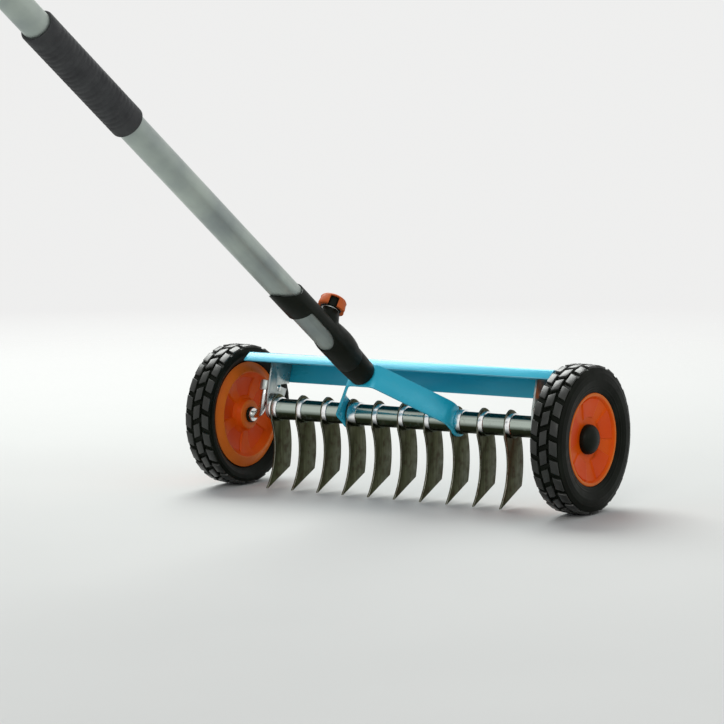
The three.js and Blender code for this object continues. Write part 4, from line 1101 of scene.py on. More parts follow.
@dataclass(frozen=True)
class Wheel(SubAssembly):
    """A wheel: tyre with tread blocks, dished rim, hub cap and bush. X points to its outer side."""

    tyre_radius: float = 75.0
    tread_depth: float = 3.4
    tread_width: float = 30.0
    tread_root: float = 1.5
    tread_rows: int = 3
    tread_blocks: int = 24
    tread_groove: float = 2.0
    tread_gap: float = 5.0
    tread_lean: float = 0.4
    tread_crown: float = 7.0
    tread_draw: Triple = (0.90, 0.92, 1.0)
    shoulder: float = 15.7
    sidewall_bulge: float = 2.6
    sidewall_steps: int = 28
    ring_height: float = 0.45
    ring_shares: tuple[float, ...] = (0.10, 0.22, 0.52, 0.80)
    ring_share_width: float = 0.03
    outer_bead: Pair = (13.7, 46.7)
    inner_bead: Pair = (-10.6, 56.6)
    rim_sides: int = 120
    rim_hub: Profile = ((-16.0, 6.6), (10.0, 6.6), (10.0, 13.0), (6.2, 13.0))
    rim_dish: Pair = (6.2, 17.5)
    rim_dish_reach: Pair = (4.2, 24.0)
    rim_dish_steps: int = 6
    rim_lip: Profile = ((12.4, 42.4), (13.6, 43.4), (14.0, 44.6), (13.8, 46.2))
    rim_bed: Profile = ((-10.4, 54.9), (-11.0, 56.0), (-11.4, 55.9))
    rim_land: Profile = ((-15.0, 46.8), (-15.2, 45.9), (-14.6, 45.0), (-11.2, 43.2), (-9.4, 40.6))
    rim_bowl: Profile = ((-7.6, 30.0), (-8.6, 19.6), (-10.2, 17.2))
    rim_boss: Profile = ((-14.6, 15.6), (-15.6, 14.8), (-16.0, 13.6))
    # Where the rim's painted highlight goes, by place along the axis and radius:
    highlit_lip: Pair = (13.0, 42.9)
    highlit_seat: Pair = (15.4, 17.4)
    highlit_land: Pair = (-11.2, 45.0)
    highlit_boss: Pair = (-14.8, 16.0)
    lobe_count: int = 5
    lobe_width: float = 50.0
    lobe_height: float = 1.4
    lobe_slope: float = 0.8
    lobe_inner: float = 20.6
    lobe_outer: float = 41.0
    cap_sides: int = 72
    cap_radius: float = 15.0
    cap_shoulder: float = 9.4
    cap_wall: float = 1.6
    cap_reach: float = 18.1
    cap_foot: float = 6.6
    cap_steps: int = 8
    bush_profile: Profile = ((-18.1, 4.3), (-18.1, 8.4), (-16.1, 8.4), (-16.1, 6.5), (10.0, 6.5), (10.0, 4.3))

    def sidewall(self, bead: Pair, outward: int) -> Profile:
        """Profile of one bulged side with its fine rings, from bead to shoulder.

        Args:
            bead: The bead's place.
            outward: 1 for the outer side, -1 for the inner one.

        Returns:
            The profile points.
        """
        floor = self.tyre_radius - self.tread_depth
        points = []
        for i in range(self.sidewall_steps + 1):
            share = i / self.sidewall_steps
            ring = max(1 - abs(share - at) / self.ring_share_width for at in self.ring_shares)
            stand = self.sidewall_bulge * math.sin(math.pi * share) + self.ring_height * max(ring, 0)
            along = bead[0] + (outward * self.shoulder - bead[0]) * share + outward * stand
            points.append((along, bead[1] + (floor - bead[1]) * share))
        return points

    def tread_row(self, row: int) -> Piece:
        """One row of leaning tread blocks.

        Args:
            row: The row, counted from the inner side.

        Returns:
            The blocks as one piece.
        """
        pitch = FULL_TURN / self.tread_blocks
        length = self.tyre_radius * pitch - self.tread_gap
        width = (self.tread_width + self.tread_groove) / self.tread_rows - self.tread_groove
        lean = (1 if row % 2 else -1) * self.tread_lean * width / 2
        out = row - (self.tread_rows - 1) / 2
        tilt = math.radians(self.tread_crown) * out
        crest = math.sqrt(self.tyre_radius ** 2 - (length / 2 + abs(lean)) ** 2)
        floor = self.tyre_radius - self.tread_depth - self.tread_root
        depth = crest - math.sin(abs(tilt)) * width / 2 - floor
        block = Workbench.block(f"tread_row_{row}", (width, length, depth))
        self.shape_block(block, lean)
        Workbench.place(block, (0, tilt, 0), (out * (width + self.tread_groove), 0, floor + depth / 2))
        Workbench.place(block, ((row % 2) / 2 * pitch, 0, 0))
        Workbench.break_edges(block, 0.5)
        copies = self.tread_blocks - 1
        with Workbench.editing(block):
            bpy.ops.mesh.spin(steps=copies, dupli=True, angle=pitch * copies, center=(0, 0, 0),
                              axis=Axis.ACROSS.value)
        self.dress(block, self.palette.tread)
        return block

    def shape_block(self, block: Piece, lean: float) -> None:
        """Lean a block's ends and draw its crown in.

        Args:
            block: The block as a box.
            lean: How far its +X side shifts along Y.
        """
        for sign in (1, -1):
            with Workbench.editing(block, Part.CORNERS, lambda corner: corner.co.x * sign > 0):
                bpy.ops.transform.translate(value=Vector((0, sign * lean, 0)) * MM)
        with Workbench.editing(block, Part.FACES, lambda face: face.normal.z > FACING_SHARE):
            bpy.ops.transform.resize(value=self.tread_draw)

    def tyre(self) -> Piece:
        """The whole tyre.

        Returns:
            The carcass with its tread, in the wheel's axes.
        """
        outer = self.sidewall(self.outer_bead, 1)
        inner = self.sidewall(self.inner_bead, -1)
        carcass = self.turned("tyre", [*outer, *reversed(inner)], Axis.ACROSS, self.palette.tyre, 0.25,
                              FINE_SIDES, 1)
        Workbench.join(carcass, *(self.tread_row(row) for row in range(self.tread_rows)))
        return carcass

    def rim(self) -> Piece:
        """The dished rim with its raised lobes, and with a land, a bowl and a boss on its inner side.

        Returns:
            The rim, in the wheel's axes.
        """
        steps = self.rim_dish_steps
        dish = [
            tuple(start + reach * i / steps for start, reach in zip(self.rim_dish, self.rim_dish_reach))
            for i in range(steps + 1)
        ]
        inside = (*self.rim_bed, *self.rim_land, *self.rim_bowl, *self.rim_boss)
        profile = [*self.rim_hub, *dish, *self.rim_lip, *inside]
        rim = Workbench.turned("rim", profile, Axis.ACROSS, self.rim_sides)
        self.dress(rim, self.palette.rim, self.palette.rim_lobe, self.palette.rim_highlight)
        for facing in (1, -1):
            for lobe in range(self.lobe_count):
                self.raise_lobe(rim, facing, QUARTER_TURN + FULL_TURN * lobe / self.lobe_count)
        self.paint_rim_highlights(rim)
        Workbench.break_edges(rim, 0.35)
        return rim

    def raise_lobe(self, rim: Piece, facing: int, middle: float) -> None:
        """Push one lobe of the dish outwards, and mark it for the darker orange that is painted shade.

        Args:
            rim: The turned rim.
            facing: 1 for the dish's outer face, -1 for its inner one, which sinks as the outer one rises.
            middle: The angle of the lobe's middle.
        """
        def in_lobe(face: bpy.types.MeshPolygon) -> bool:
            """Whether a face of the dish lies in the lobe.

            Args:
                face: The face.

            Returns:
                True where it does.
            """
            off = (math.atan2(face.center.z, face.center.y) - middle + math.pi) % FULL_TURN - math.pi
            on_face = face.normal.x * facing > FACING_SHARE
            return (on_face and self.lobe_inner < off_axis(face) < self.lobe_outer
                    and abs(off) < math.radians(self.lobe_width) / 2)

        with Workbench.editing(rim, Part.FACES, in_lobe):
            bpy.ops.mesh.inset(thickness=self.lobe_slope * MM, use_even_offset=True)
            bpy.ops.transform.translate(value=Vector((self.lobe_height, 0, 0)) * MM)
        # The lobe's faces take the darker orange, painted shade.
        for face in rim.data.polygons:
            if face.select:
                face.material_index = 1

    def paint_rim_highlights(self, rim: Piece) -> None:
        """Paint a highlight in lighter orange on the lip, the cap's seat, and the inner side's land and boss.

        Args:
            rim: The rim with its lobes.
        """
        for face in rim.data.polygons:
            along = face.center.x / MM
            radius = off_axis(face)
            lip = along > self.highlit_lip[0] and self.highlit_lip[1] < radius
            seat = self.highlit_seat[0] < radius < self.highlit_seat[1] and face.normal.x > FACING_SHARE
            land = along < self.highlit_land[0] and self.highlit_land[1] < radius
            boss = along < self.highlit_boss[0] and radius < self.highlit_boss[1]
            if lip or seat or land or boss:
                face.material_index = 2

    def hub_cap(self) -> Piece:
        """The domed black cap, hollow underneath.

        Returns:
            The cap, in the wheel's axes.
        """
        angles = [90 * i / self.cap_steps for i in range(self.cap_steps)]
        skin = dome(self.cap_shoulder, self.cap_reach - self.cap_shoulder, self.cap_radius, angles)
        inside = 1 - self.cap_wall / self.cap_radius
        roof = [(along - self.cap_wall, radius * inside) for along, radius in reversed(skin)]
        foot = [(self.cap_foot, self.cap_radius * inside), (self.cap_foot, self.cap_radius)]
        profile = [(self.cap_reach - self.cap_wall, 0), *roof, *foot, *skin, (self.cap_reach, 0)]
        return self.turned("hub_cap", profile, Axis.ACROSS, self.palette.black, 0.4, self.cap_sides)

    def bush(self) -> Piece:
        """The bush with its flange, in the wheel's axes."""
        black = self.palette.black
        return self.turned("wheel_bush", self.bush_profile, Axis.ACROSS, black, sides=SMALL_SIDES)

    def build(self) -> None:
        """Model the wheel's pieces once, and set them on both sides."""
        for model in (self.tyre(), self.rim(), self.hub_cap(), self.bush()):
            stem = model.name
            twin = Workbench.copy(model, f"{stem}_left_detailed")
            model.name = f"{stem}_right_detailed"
            Workbench.place(model, (0, 0, 0), DATUM.wheel_spot(Side.RIGHT))
            Workbench.place(twin, (0, 0, math.pi), DATUM.wheel_spot(Side.LEFT))
            self.settle(model, Body.WHEEL_RIGHT, f"{stem}_right")
            self.settle(twin, Body.WHEEL_LEFT, f"{stem}_left")


@dataclass(frozen=True)
class FrameAndChannel(SubAssembly):
    """The folded channel, the side plates, the clamps, the cranked rods and the rivets."""

    rod_radius: float = 4.0
    rod_facets: int = 6
    rod_steps: int = 14
    rod_tip: float = 224.0
    bend_start: float = 192.0
    bend_lead: float = 12.0
    bend_rise: float = 14.0
    leg_across: float = 170.55
    leg_forward: float = 8.5
    leg_foot: float = 14.0
    leg_top: float = 27.5
    collar_start: float = 190.5
    collar_end: float = 192.5
    collar_radius: float = 7.0
    clamp_sheet: float = 2.5
    clamp_rivet: Triple = (0, 2.6, 22.5)
    channel_grip: Pair = (51.0, 54.9)
    channel_rivets: tuple[tuple[str, float, float], ...] = (("front", 152.75, -10.0), ("rear", 141.75, 3.0))
    head_radius: float = 4.2
    head_rise: float = 2.1
    head_angles: tuple[float, ...] = (0, 18, 36, 54, 72)
    tail_radius: float = 3.5
    tail_rise: float = 1.7
    tail_angles: tuple[float, ...] = (72, 48, 24, 0)
    shank_radius: float = 2.3

    def lean(self, piece: Piece, side: Side, spot: Sequence[float] = (0, 0, 0)) -> Piece:
        """Move a piece of the right side from the frame's own axes to its place.

        Args:
            piece: The piece.
            side: The side that it goes to.
            spot: A shift before that, in the frame's own axes.

        Returns:
            The same piece.
        """
        if side is Side.LEFT:
            Workbench.mirror(piece)
        Workbench.place(piece, spot=spot)
        return Workbench.place(piece, DATUM.frame_turn, DATUM.tube)

    def sweep(self, name: str) -> Piece:
        """Sweep a round rod from the wheel's end round its bend and up its leg.

        Args:
            name: The new piece's name.

        Returns:
            The rod as a mesh, in the frame's own axes.
        """
        start = DATUM.axle + Vector((self.bend_start, 0, 0))
        tip = DATUM.axle + Vector((self.rod_tip, 0, 0))
        foot = Vector((self.leg_across, -self.leg_forward, self.leg_foot))
        top = Vector((self.leg_across, -self.leg_forward, self.leg_top))
        places = (
            (tip, tip, start.lerp(tip, 0.5)),
            (start, start.lerp(tip, 0.5), start - Vector((self.bend_lead, 0, 0))),
            (foot, foot - Vector((0, 0, self.bend_rise)), foot.lerp(top, 0.5)),
            (top, foot.lerp(top, 0.5), top),
        )
        Workbench.rest()
        bpy.ops.curve.primitive_bezier_curve_add()
        curve = bpy.context.active_object.data
        knots = curve.splines[0].bezier_points
        knots.add(len(places) - len(knots))
        for knot, (middle, before, after) in zip(knots, places):
            knot.handle_left_type = "FREE"
            knot.handle_right_type = "FREE"
            knot.co = middle * MM
            knot.handle_left = before * MM
            knot.handle_right = after * MM
        curve.dimensions = "3D"
        curve.bevel_depth = self.rod_radius * MM
        curve.bevel_resolution = self.rod_facets
        curve.resolution_u = self.rod_steps
        curve.use_fill_caps = True
        bpy.ops.object.convert(target="MESH")
        rod = bpy.context.active_object
        rod.name = name
        return rod

    def axle_rod(self, side: Side) -> None:
        """Model one cranked rod with its collar.

        Args:
            side: The rod's side.
        """
        rod = self.sweep(f"axle_rod_{side.label}_detailed")
        ring = barrel(self.collar_start, self.collar_end, self.collar_radius)
        collar = Workbench.turned("rod_collar", ring, Axis.ACROSS, SMALL_SIDES)
        Workbench.join(rod, Workbench.place(collar, spot=DATUM.axle))
        with Workbench.editing(rod):
            bpy.ops.mesh.remove_doubles(threshold=MERGE_DISTANCE)
            bpy.ops.mesh.normals_make_consistent(inside=False)
        Workbench.break_edges(rod, 0.4)
        self.dress(rod, self.palette.rod)
        self.settle(self.lean(rod, side), Body.FRAME, f"axle_rod_{side.label}")

    def rivet(self, name: str, axis: Axis, start: float, end: float) -> Piece:
        """A domed rivet through a grip of sheets.

        Args:
            name: The new piece's name.
            axis: The axis that it runs along.
            start: Where its tail meets the sheets.
            end: Where its head meets them.

        Returns:
            The rivet, about its own axis.
        """
        low = start - FIT_GAP
        high = end + FIT_GAP
        head = dome(high, self.head_rise, self.head_radius, self.head_angles)
        tail = dome(low, -self.tail_rise, self.tail_radius, self.tail_angles)
        shank = [(low, self.shank_radius), (high, self.shank_radius)]
        profile = [(low - self.tail_rise, 0), *tail, *shank, *head, (high + self.head_rise, 0)]
        return self.turned(name, profile, axis, self.palette.rod, 0.15, SMALL_SIDES, 1)

    def rivets(self, side: Side) -> None:
        """The clamp's rivet and the two through the channel.

        Args:
            side: Their side.
        """
        node = f"clamp_rivet_{side.label}"
        clamp_face = DATUM.plate_outer + self.clamp_sheet
        clamp = self.rivet(f"{node}_domed", Axis.ACROSS, DATUM.plate_inner, clamp_face)
        self.settle(self.lean(clamp, side, self.clamp_rivet), Body.FRAME, node)
        for which, across, back in self.channel_rivets:
            node = f"channel_rivet_{side.label}_{which}"
            rivet = self.rivet(f"{node}_domed", Axis.UP, *self.channel_grip)
            self.settle(self.lean(rivet, Side.RIGHT, (side.value * across, back, 0)), Body.FRAME, node)

    def build(self) -> None:
        """Model the frame's sheets and rods, and dress the rings under the hub caps."""
        colours = self.palette
        # The side plates' and clamps' broken edges take the painted edge highlight.
        zinc = (colours.zinc, colours.highlit_zinc_edge)
        # The channel's broken edges take the painted edge highlight.
        self.refined("channel", "channel_painted", Body.FRAME, (colours.paint, colours.highlit_paint_edge), 0.35)
        for side in Side:
            plate = f"side_plate_{side.label}"
            clamp = f"axle_clamp_{side.label}"
            self.refined(plate, f"{plate}_sheared", Body.FRAME, zinc, 0.35)
            self.refined(clamp, f"{clamp}_bent", Body.FRAME, zinc, 0.3)
            self.axle_rod(side)
            self.rivets(side)
            self.dress(frame["nodes"][f"axle_ring_{side.label}"], colours.rod)


@dataclass(frozen=True)
class KnifeStack(SubAssembly):
    """Ten knives clamped on a tube between flanged spacers. A knife is drawn from the tube's axis."""

    knife_thickness: float = 2.0
    head_radius: float = 16.0
    head_relief: float = 4.2
    head_end: float = 198.0
    head_steps: int = 28
    front_bow: float = 70.0
    front_apex: float = 6.5
    rear_bow: float = 95.0
    rear_apex: float = 23.5
    apex_drop: float = 38.0
    neck_drop: float = 11.0
    heel_drop: float = 64.0
    tip_drop: float = 82.233
    tip_width: float = 2.0
    edge_steps: int = 12
    grind: float = 0.5
    hole_reach: float = 5.0
    tube_radius: float = 8.0
    tube_wall: float = 1.5
    tube_end: float = 165.45
    bore: float = 8.3
    spacer_radius: float = 11.0
    flange_radius: float = 12.6
    flange_margin: float = 0.2
    flange: float = 5.0
    wide_flange: float = 10.0
    ear_setout: float = 4.8
    middle_knife: int = 5
    ear_knives: int = 2
    ring_width: float = 1.6
    collar_width: float = 3.3

    def edge(self, apex: float, bow: float, first: float, last: float) -> Sequence[Pair]:
        """Points on a bowed edge of the knife between two depths.

        Args:
            apex: How far back the edge's apex lies.
            bow: Radius of the edge.
            first: Depth of the first point.
            last: Depth of the last point.

        Returns:
            Pairs of Y and Z.
        """
        drops = [first + (last - first) * i / self.edge_steps for i in range(self.edge_steps + 1)]
        reach = [bow - math.sqrt(bow ** 2 - (drop - self.apex_drop) ** 2) for drop in drops]
        return [(apex - inward, -drop) for inward, drop in zip(reach, drops)]

    def head(self) -> Sequence[Pair]:
        """Round head of a knife, drawn in at the front so that it stays behind the flange.

        Returns:
            Pairs of Y and Z.
        """
        points = []
        for step in range(self.head_steps + 1):
            turn = math.radians(self.head_end * step / self.head_steps)
            radius = self.head_radius - self.head_relief * max(0.0, -math.cos(turn))
            points.append((radius * math.cos(turn), radius * math.sin(turn)))
        return points

    def outline(self) -> Sequence[Pair]:
        """Outline of a knife, from the rear of its head over the top to the front and down to the tip.

        Returns:
            Pairs of Y and Z.
        """
        front = self.edge(-self.front_apex, self.front_bow, self.neck_drop, self.tip_drop)
        rear = self.edge(self.rear_apex, self.rear_bow, self.heel_drop, self.neck_drop)
        tip = (front[-1][0] + self.tip_width, -self.tip_drop)
        return [*self.head(), *front, tip, *rear]

    def knives(self) -> None:
        """Model a knife once and copy it to its ten places."""
        half = self.knife_thickness / 2
        model = Workbench.plate("knife_model", self.outline(), -half, half)
        through = barrel(-self.hole_reach, self.hole_reach, self.bore)
        Workbench.combine(model, Workbench.turned("knife_hole", through, Axis.ACROSS, SMALL_SIDES))
        # The knife's broken edges take the brighter steel: edge wear and painted highlight.
        self.dress(model, self.palette.knife, self.palette.highlit_knife_edge)
        Workbench.break_edges(model, self.grind, wear_and_highlight_slot=1)
        for index in range(DATUM.knife_count):
            knife = Workbench.copy(model, f"knife_{index + 1}_ground")
            Workbench.place(knife, spot=DATUM.tube + Vector((DATUM.knife_place(index), 0, 0)))
            self.settle(knife, Body.FRAME, f"knife_{index + 1}")
        Workbench.remove(model)

    def spacer(self, index: int) -> None:
        """Turn the spacer after a knife, with the flange that the knife leans on.

        Args:
            index: The knife, counted from the -X side.
        """
        stand = self.knife_thickness / 2 + FIT_GAP
        start = DATUM.knife_place(index) + stand
        end = DATUM.knife_place(index + 1) - stand
        places = index - self.middle_knife
        flange_end = start + (self.wide_flange if abs(places) == self.ear_knives else self.flange)
        flange_start = start
        profile = [(start, self.bore)]
        if places == self.ear_knives:
            flange_start = DATUM.knife_place(index) + self.ear_setout
            profile += [(start, self.spacer_radius), (flange_start, self.spacer_radius)]
        profile += [
            (flange_start, self.flange_radius),
            (flange_end, self.flange_radius),
            (flange_end, self.spacer_radius),
            (end, self.spacer_radius),
            (end, self.bore),
        ]
        spacer = Workbench.turned(f"spacer_{index + 1}_turned", profile, Axis.ACROSS)
        self.dress(spacer, self.palette.steel, self.palette.flange)
        for face in spacer.data.polygons:
            beyond = off_axis(face) > self.spacer_radius + self.flange_margin
            if beyond and flange_start - FIT_GAP <= face.center.x / MM <= flange_end + FIT_GAP:
                face.material_index = 1
        Workbench.break_edges(spacer, 0.3)
        self.settle(Workbench.place(spacer, spot=DATUM.tube), Body.FRAME, f"spacer_{index + 1}")

    def ring(self, node: str, start: float, end: float, radius: float) -> None:
        """Turn a plain ring on the tube.

        Args:
            node: The node that it stands for.
            start: Where it begins along X.
            end: Where it ends along X.
            radius: Its outer radius.
        """
        profile = barrel(start, end, radius, self.bore)
        ring = self.turned(f"{node}_turned", profile, Axis.ACROSS, self.palette.flange, 0.25)
        self.settle(Workbench.place(ring, spot=DATUM.tube), Body.FRAME, node)

    def build(self) -> None:
        """Model the tube, its rings, the knives and the spacers."""
        profile = barrel(-self.tube_end, self.tube_end, self.tube_radius, self.tube_radius - self.tube_wall)
        tube = self.turned("blade_shaft_turned", profile, Axis.ACROSS, self.palette.zinc)
        self.settle(Workbench.place(tube, spot=DATUM.tube), Body.FRAME, "blade_shaft")
        near = DATUM.plate_outer + FIT_GAP
        far = near + self.ring_width
        inside = -DATUM.plate_inner + FIT_GAP
        self.ring("shaft_ring_right", near, far, self.spacer_radius)
        self.ring("shaft_ring_left", -far, -near, self.spacer_radius)
        self.ring("end_collar", inside, inside + self.collar_width, self.flange_radius)
        self.knives()
        for index in range(DATUM.knife_count):
            self.spacer(index)


@dataclass(frozen=True)
class Ribs:
    """Form of a ribbed hand grip."""

    radius: float
    pitch: float
    depth: float
    plain: float
    crest_share: float = 0.28
    groove_share: float = 0.12
    end_drop: float = 0.6
    end_length: float = 0.8

    def profile(self, start: float, end: float, bore: float) -> Profile:
        """Profile with shallow ribs between plain ends.

        Args:
            start: Lower end along the pole.
            end: Upper end.
            bore: Radius of the bore.

        Returns:
            The closed profile.
        """
        low = self.radius - self.end_drop
        points = [(start, bore), (start, low), (start + self.end_length, self.radius)]
        for rib in range(int((end - start - 2 * self.plain) / self.pitch)):
            middle = start + self.plain + (rib + 0.5) * self.pitch
            crest = self.pitch * self.crest_share
            groove = self.pitch * self.groove_share
            points += [
                (middle - crest, self.radius),
                (middle - groove, self.radius - self.depth),
                (middle + groove, self.radius - self.depth),
                (middle + crest, self.radius),
            ]
        return [*points, (end - self.end_length, self.radius), (end, low), (end, bore)]


@dataclass(frozen=True)
class Handle(SubAssembly):
    """The yoke and its socket, the sleeve, the pole, the grips and the lock.

    Sizes run along the pole from the tube's axis and across it, those of the lock along its own axis.
    """

    socket_foot: float = 90.8
    socket_foot_radius: float = 13.8
    socket_shoulder: float = 119.8
    socket_shoulder_radius: float = 14.9
    socket_chamfer: float = 1.2
    socket_bore: float = 3.3
    socket_bore_depth: float = 36.3
    shank_top: float = 221.8
    shank_radius: float = 12.0
    shank_taper: Pair = (6.0, 3.0)
    sleeve_foot: float = 120.1
    sleeve_length: float = 152.0
    sleeve_radius: float = 15.0
    sleeve_flare: float = 26.0
    sleeve_seat: float = 8.0
    sleeve_bore: float = 13.8
    sleeve_neck: float = 12.3
    weld_depth: float = 0.02
    hump_start: float = 0.4
    hump_rise: float = 3.4
    hump: Profile = (
        (0.0, 0.0), (0.0, 11.7), (4.0, 12.9), (9.0, 14.1), (15.0, 15.0), (24.0, 15.5),
        (36.0, 15.2), (48.0, 14.2), (58.0, 12.6), (58.0, 0.0),
    )
    mouth_slope: float = 30.0
    mouth_dip: float = 10.0
    mouth_steps: int = 12
    window_start: float = 40.9
    window_length: float = 58.8
    window_edge: float = 3.9
    window_sweep: float = 23.0
    window_corner: float = 4.5
    window_angles: tuple[float, ...] = (0, 10, 20, 30, 40, 50, 60, 70, 80, 90)
    window_corner_steps: int = 6
    overrun: float = 3.0
    boss_along: float = 56.0
    boss: Profile = ((0, 0), (0, 12.6), (13.5, 12.6), (15.2, 12.0), (23.0, 10.0), (23.0, 0))
    screw_hole: Pair = (30.0, 3.5)
    pole_foot: float = 128.4
    pole_length: float = 1300.0
    pole_radius: float = 13.5
    pole_wall: float = 1.2
    grip_gap: float = 0.3
    mid_grip_along: float = 416.0
    mid_grip_length: float = 150.0
    mid_ribs: Ribs = Ribs(radius=16.4, pitch=6.0, depth=0.5, plain=12.0)
    end_grip_length: float = 140.0
    end_ribs: Ribs = Ribs(radius=16.9, pitch=7.0, depth=0.7, plain=8.0)
    cap_plug: Profile = ((-18.0, 0), (-18.0, 11.4), (-16.8, 12.0), (0, 12.0))
    cap_radius: float = 15.85
    cap_height: float = 8.8
    cap_angles: tuple[float, ...] = (0, 12, 24, 36, 48, 60, 72, 82)
    knob_foot: float = 24.8
    knob_turn: float = 39.2
    knob_shell: Profile = (
        (0, 10.9), (0, 14.2), (0.8, 14.6), (2.4, 14.5), (10.0, 13.4), (11.6, 12.2), (13.4, 8.5),
        (14.5, 4.25), (14.5, 0), (10.3, 0), (10.3, 10.9),
    )
    knob_core: Profile = ((0, 3.5), (0, 10.2), (0.4, 10.6), (10, 10.6), (10, 0), (8.1, 0), (8.1, 3.5))
    pocket_count: int = 4
    pocket_size: Triple = (12, 9, 10.8)
    pocket_out: float = 13.0
    pocket_up: float = 4.2
    washer_start: float = 23.3
    washer_end: float = 24.5
    washer_radius: float = 9.0
    screw_start: float = 12.3
    screw_end: float = 32.3
    screw_core: float = 2.4
    thread_root: float = 2.5
    thread_crest: float = 3.0
    thread_pitch: float = 1.0

    @property
    def boss_place(self) -> float:
        """Where the lock's axis crosses the pole's."""
        return self.sleeve_foot + self.boss_along

    @property
    def sleeve_end(self) -> float:
        """Upper end of the sleeve before its mouth is cut."""
        return self.sleeve_foot + self.sleeve_length

    @property
    def pole_end(self) -> float:
        """Upper end of the pole."""
        return self.pole_foot + self.pole_length

    def seat(self, piece: Piece) -> Piece:
        """Move a piece from the handle's own axes to its place."""
        return Workbench.place(piece, DATUM.handle_turn, DATUM.handle_spot)

    def on_lock(self, piece: Piece) -> Piece:
        """Move a piece from the lock's own axis into the handle's own axes."""
        return Workbench.place(piece, (-QUARTER_TURN, 0, 0), (0, 0, self.boss_place))

    def hole(self) -> Piece:
        """Cutter for the lock screw's hole, in the handle's own axes."""
        depth, radius = self.screw_hole
        return self.on_lock(Workbench.turned("hole", barrel(0, depth, radius), Axis.UP, SMALL_SIDES))

    def socket(self) -> None:
        """Turn the moulded socket and its shank."""
        bore_end = self.socket_foot + self.socket_bore_depth
        taper_length, taper_drop = self.shank_taper
        profile = [
            (self.socket_foot, self.socket_bore),
            (self.socket_foot, self.socket_foot_radius - self.socket_chamfer),
            (self.socket_foot + self.socket_chamfer, self.socket_foot_radius),
            (self.socket_shoulder, self.socket_shoulder_radius),
            (self.socket_shoulder, self.shank_radius),
            (self.shank_top - taper_length, self.shank_radius),
            (self.shank_top, self.shank_radius - taper_drop),
            (self.shank_top, 0),
            (bore_end, 0),
            (bore_end, self.socket_bore),
        ]
        socket = self.turned("tool_socket_moulded", profile, Axis.UP, self.palette.black, 0.4)
        self.settle(self.seat(socket), Body.YOKE, "tool_socket")

    def mouth_tool(self) -> Piece:
        """Cutter for the sleeve's slanted mouth.

        Returns:
            The cutter, in the handle's own axes.
        """
        end = self.sleeve_end
        reach = self.sleeve_radius + self.overrun
        half = self.mouth_steps / 2
        shares = [-1 + i / half for i in range(self.mouth_steps + 1)]
        edge = [
            (share * reach, end - self.mouth_slope * (share + 1) / 2 - self.mouth_dip * (1 - share ** 2))
            for share in shares
        ]
        past = end + self.mouth_slope + self.overrun
        return Workbench.plate("mouth_tool", [*edge, (reach, past), (-reach, past)], -reach, reach)

    def window_tool(self) -> Piece:
        """Cutter for the sleeve's window, whose lower end sweeps round and whose upper end is square.

        Returns:
            The cutter, in the handle's own axes.
        """
        start = self.sleeve_foot + self.window_start
        end = start + self.window_length
        low = -self.sleeve_radius - self.overrun
        rise = self.sleeve_radius - self.window_edge
        corner = self.window_corner
        first = [
            (-self.sleeve_radius + rise * math.sin(turn), start + self.window_sweep * (1 - math.cos(turn)))
            for turn in (math.radians(angle) for angle in self.window_angles)
        ]
        last = arc((-self.window_edge - corner, end - corner), corner, 0, 90, self.window_corner_steps)
        outline = [(low, start), *first, *last, (low, end + corner)]
        return Workbench.plate("window_tool", outline, low, -low)

    def boss_and_hump(self) -> Piece:
        """The lock's boss and the sleeve's swell below it, bored out for the pole.

        Returns:
            The two as one piece, in the handle's own axes.
        """
        boss = self.on_lock(Workbench.turned("boss", self.boss, Axis.UP, KNOB_SIDES))
        swell = lifted(self.hump, self.sleeve_foot + self.hump_start)
        hump = Workbench.place(Workbench.turned("hump", swell, Axis.UP), spot=(0, self.hump_rise, 0))
        Workbench.combine(boss, hump, Merge.WELD)
        past = self.sleeve_end + self.overrun
        bore = barrel(self.sleeve_foot - self.overrun, past, self.sleeve_bore - self.weld_depth)
        Workbench.combine(boss, Workbench.turned("bore", bore, Axis.UP))
        return boss

    def sleeve(self) -> None:
        """Model the clamped sleeve: tube, boss, swell, screw hole, window and mouth."""
        foot = self.sleeve_foot
        profile = [
            (foot, self.sleeve_neck),
            (foot, self.sleeve_radius),
            (foot + self.sleeve_flare, self.sleeve_radius),
            (self.sleeve_end, self.sleeve_radius),
            (self.sleeve_end, self.sleeve_bore),
            (foot + self.sleeve_seat, self.sleeve_bore),
            (foot + self.sleeve_seat, self.sleeve_neck),
        ]
        sleeve = Workbench.turned("handle_sleeve_moulded", profile, Axis.UP)
        Workbench.combine(sleeve, self.boss_and_hump(), Merge.WELD)
        for tool in (self.hole(), self.window_tool(), self.mouth_tool()):
            Workbench.combine(sleeve, tool)
        self.dress(sleeve, self.palette.black)
        Workbench.break_edges(sleeve, 0.35)
        self.settle(self.seat(sleeve), Body.HANDLE, "handle_sleeve")

    def pole(self) -> None:
        """Turn the pole's tube and drill it for the lock screw."""
        profile = barrel(self.pole_foot, self.pole_end, self.pole_radius, self.pole_radius - self.pole_wall)
        pole = self.turned("pole_drawn", profile, Axis.UP, self.palette.pole, sides=FINE_SIDES)
        Workbench.combine(pole, self.hole())
        Workbench.smooth()
        self.settle(self.seat(pole), Body.HANDLE, "pole")

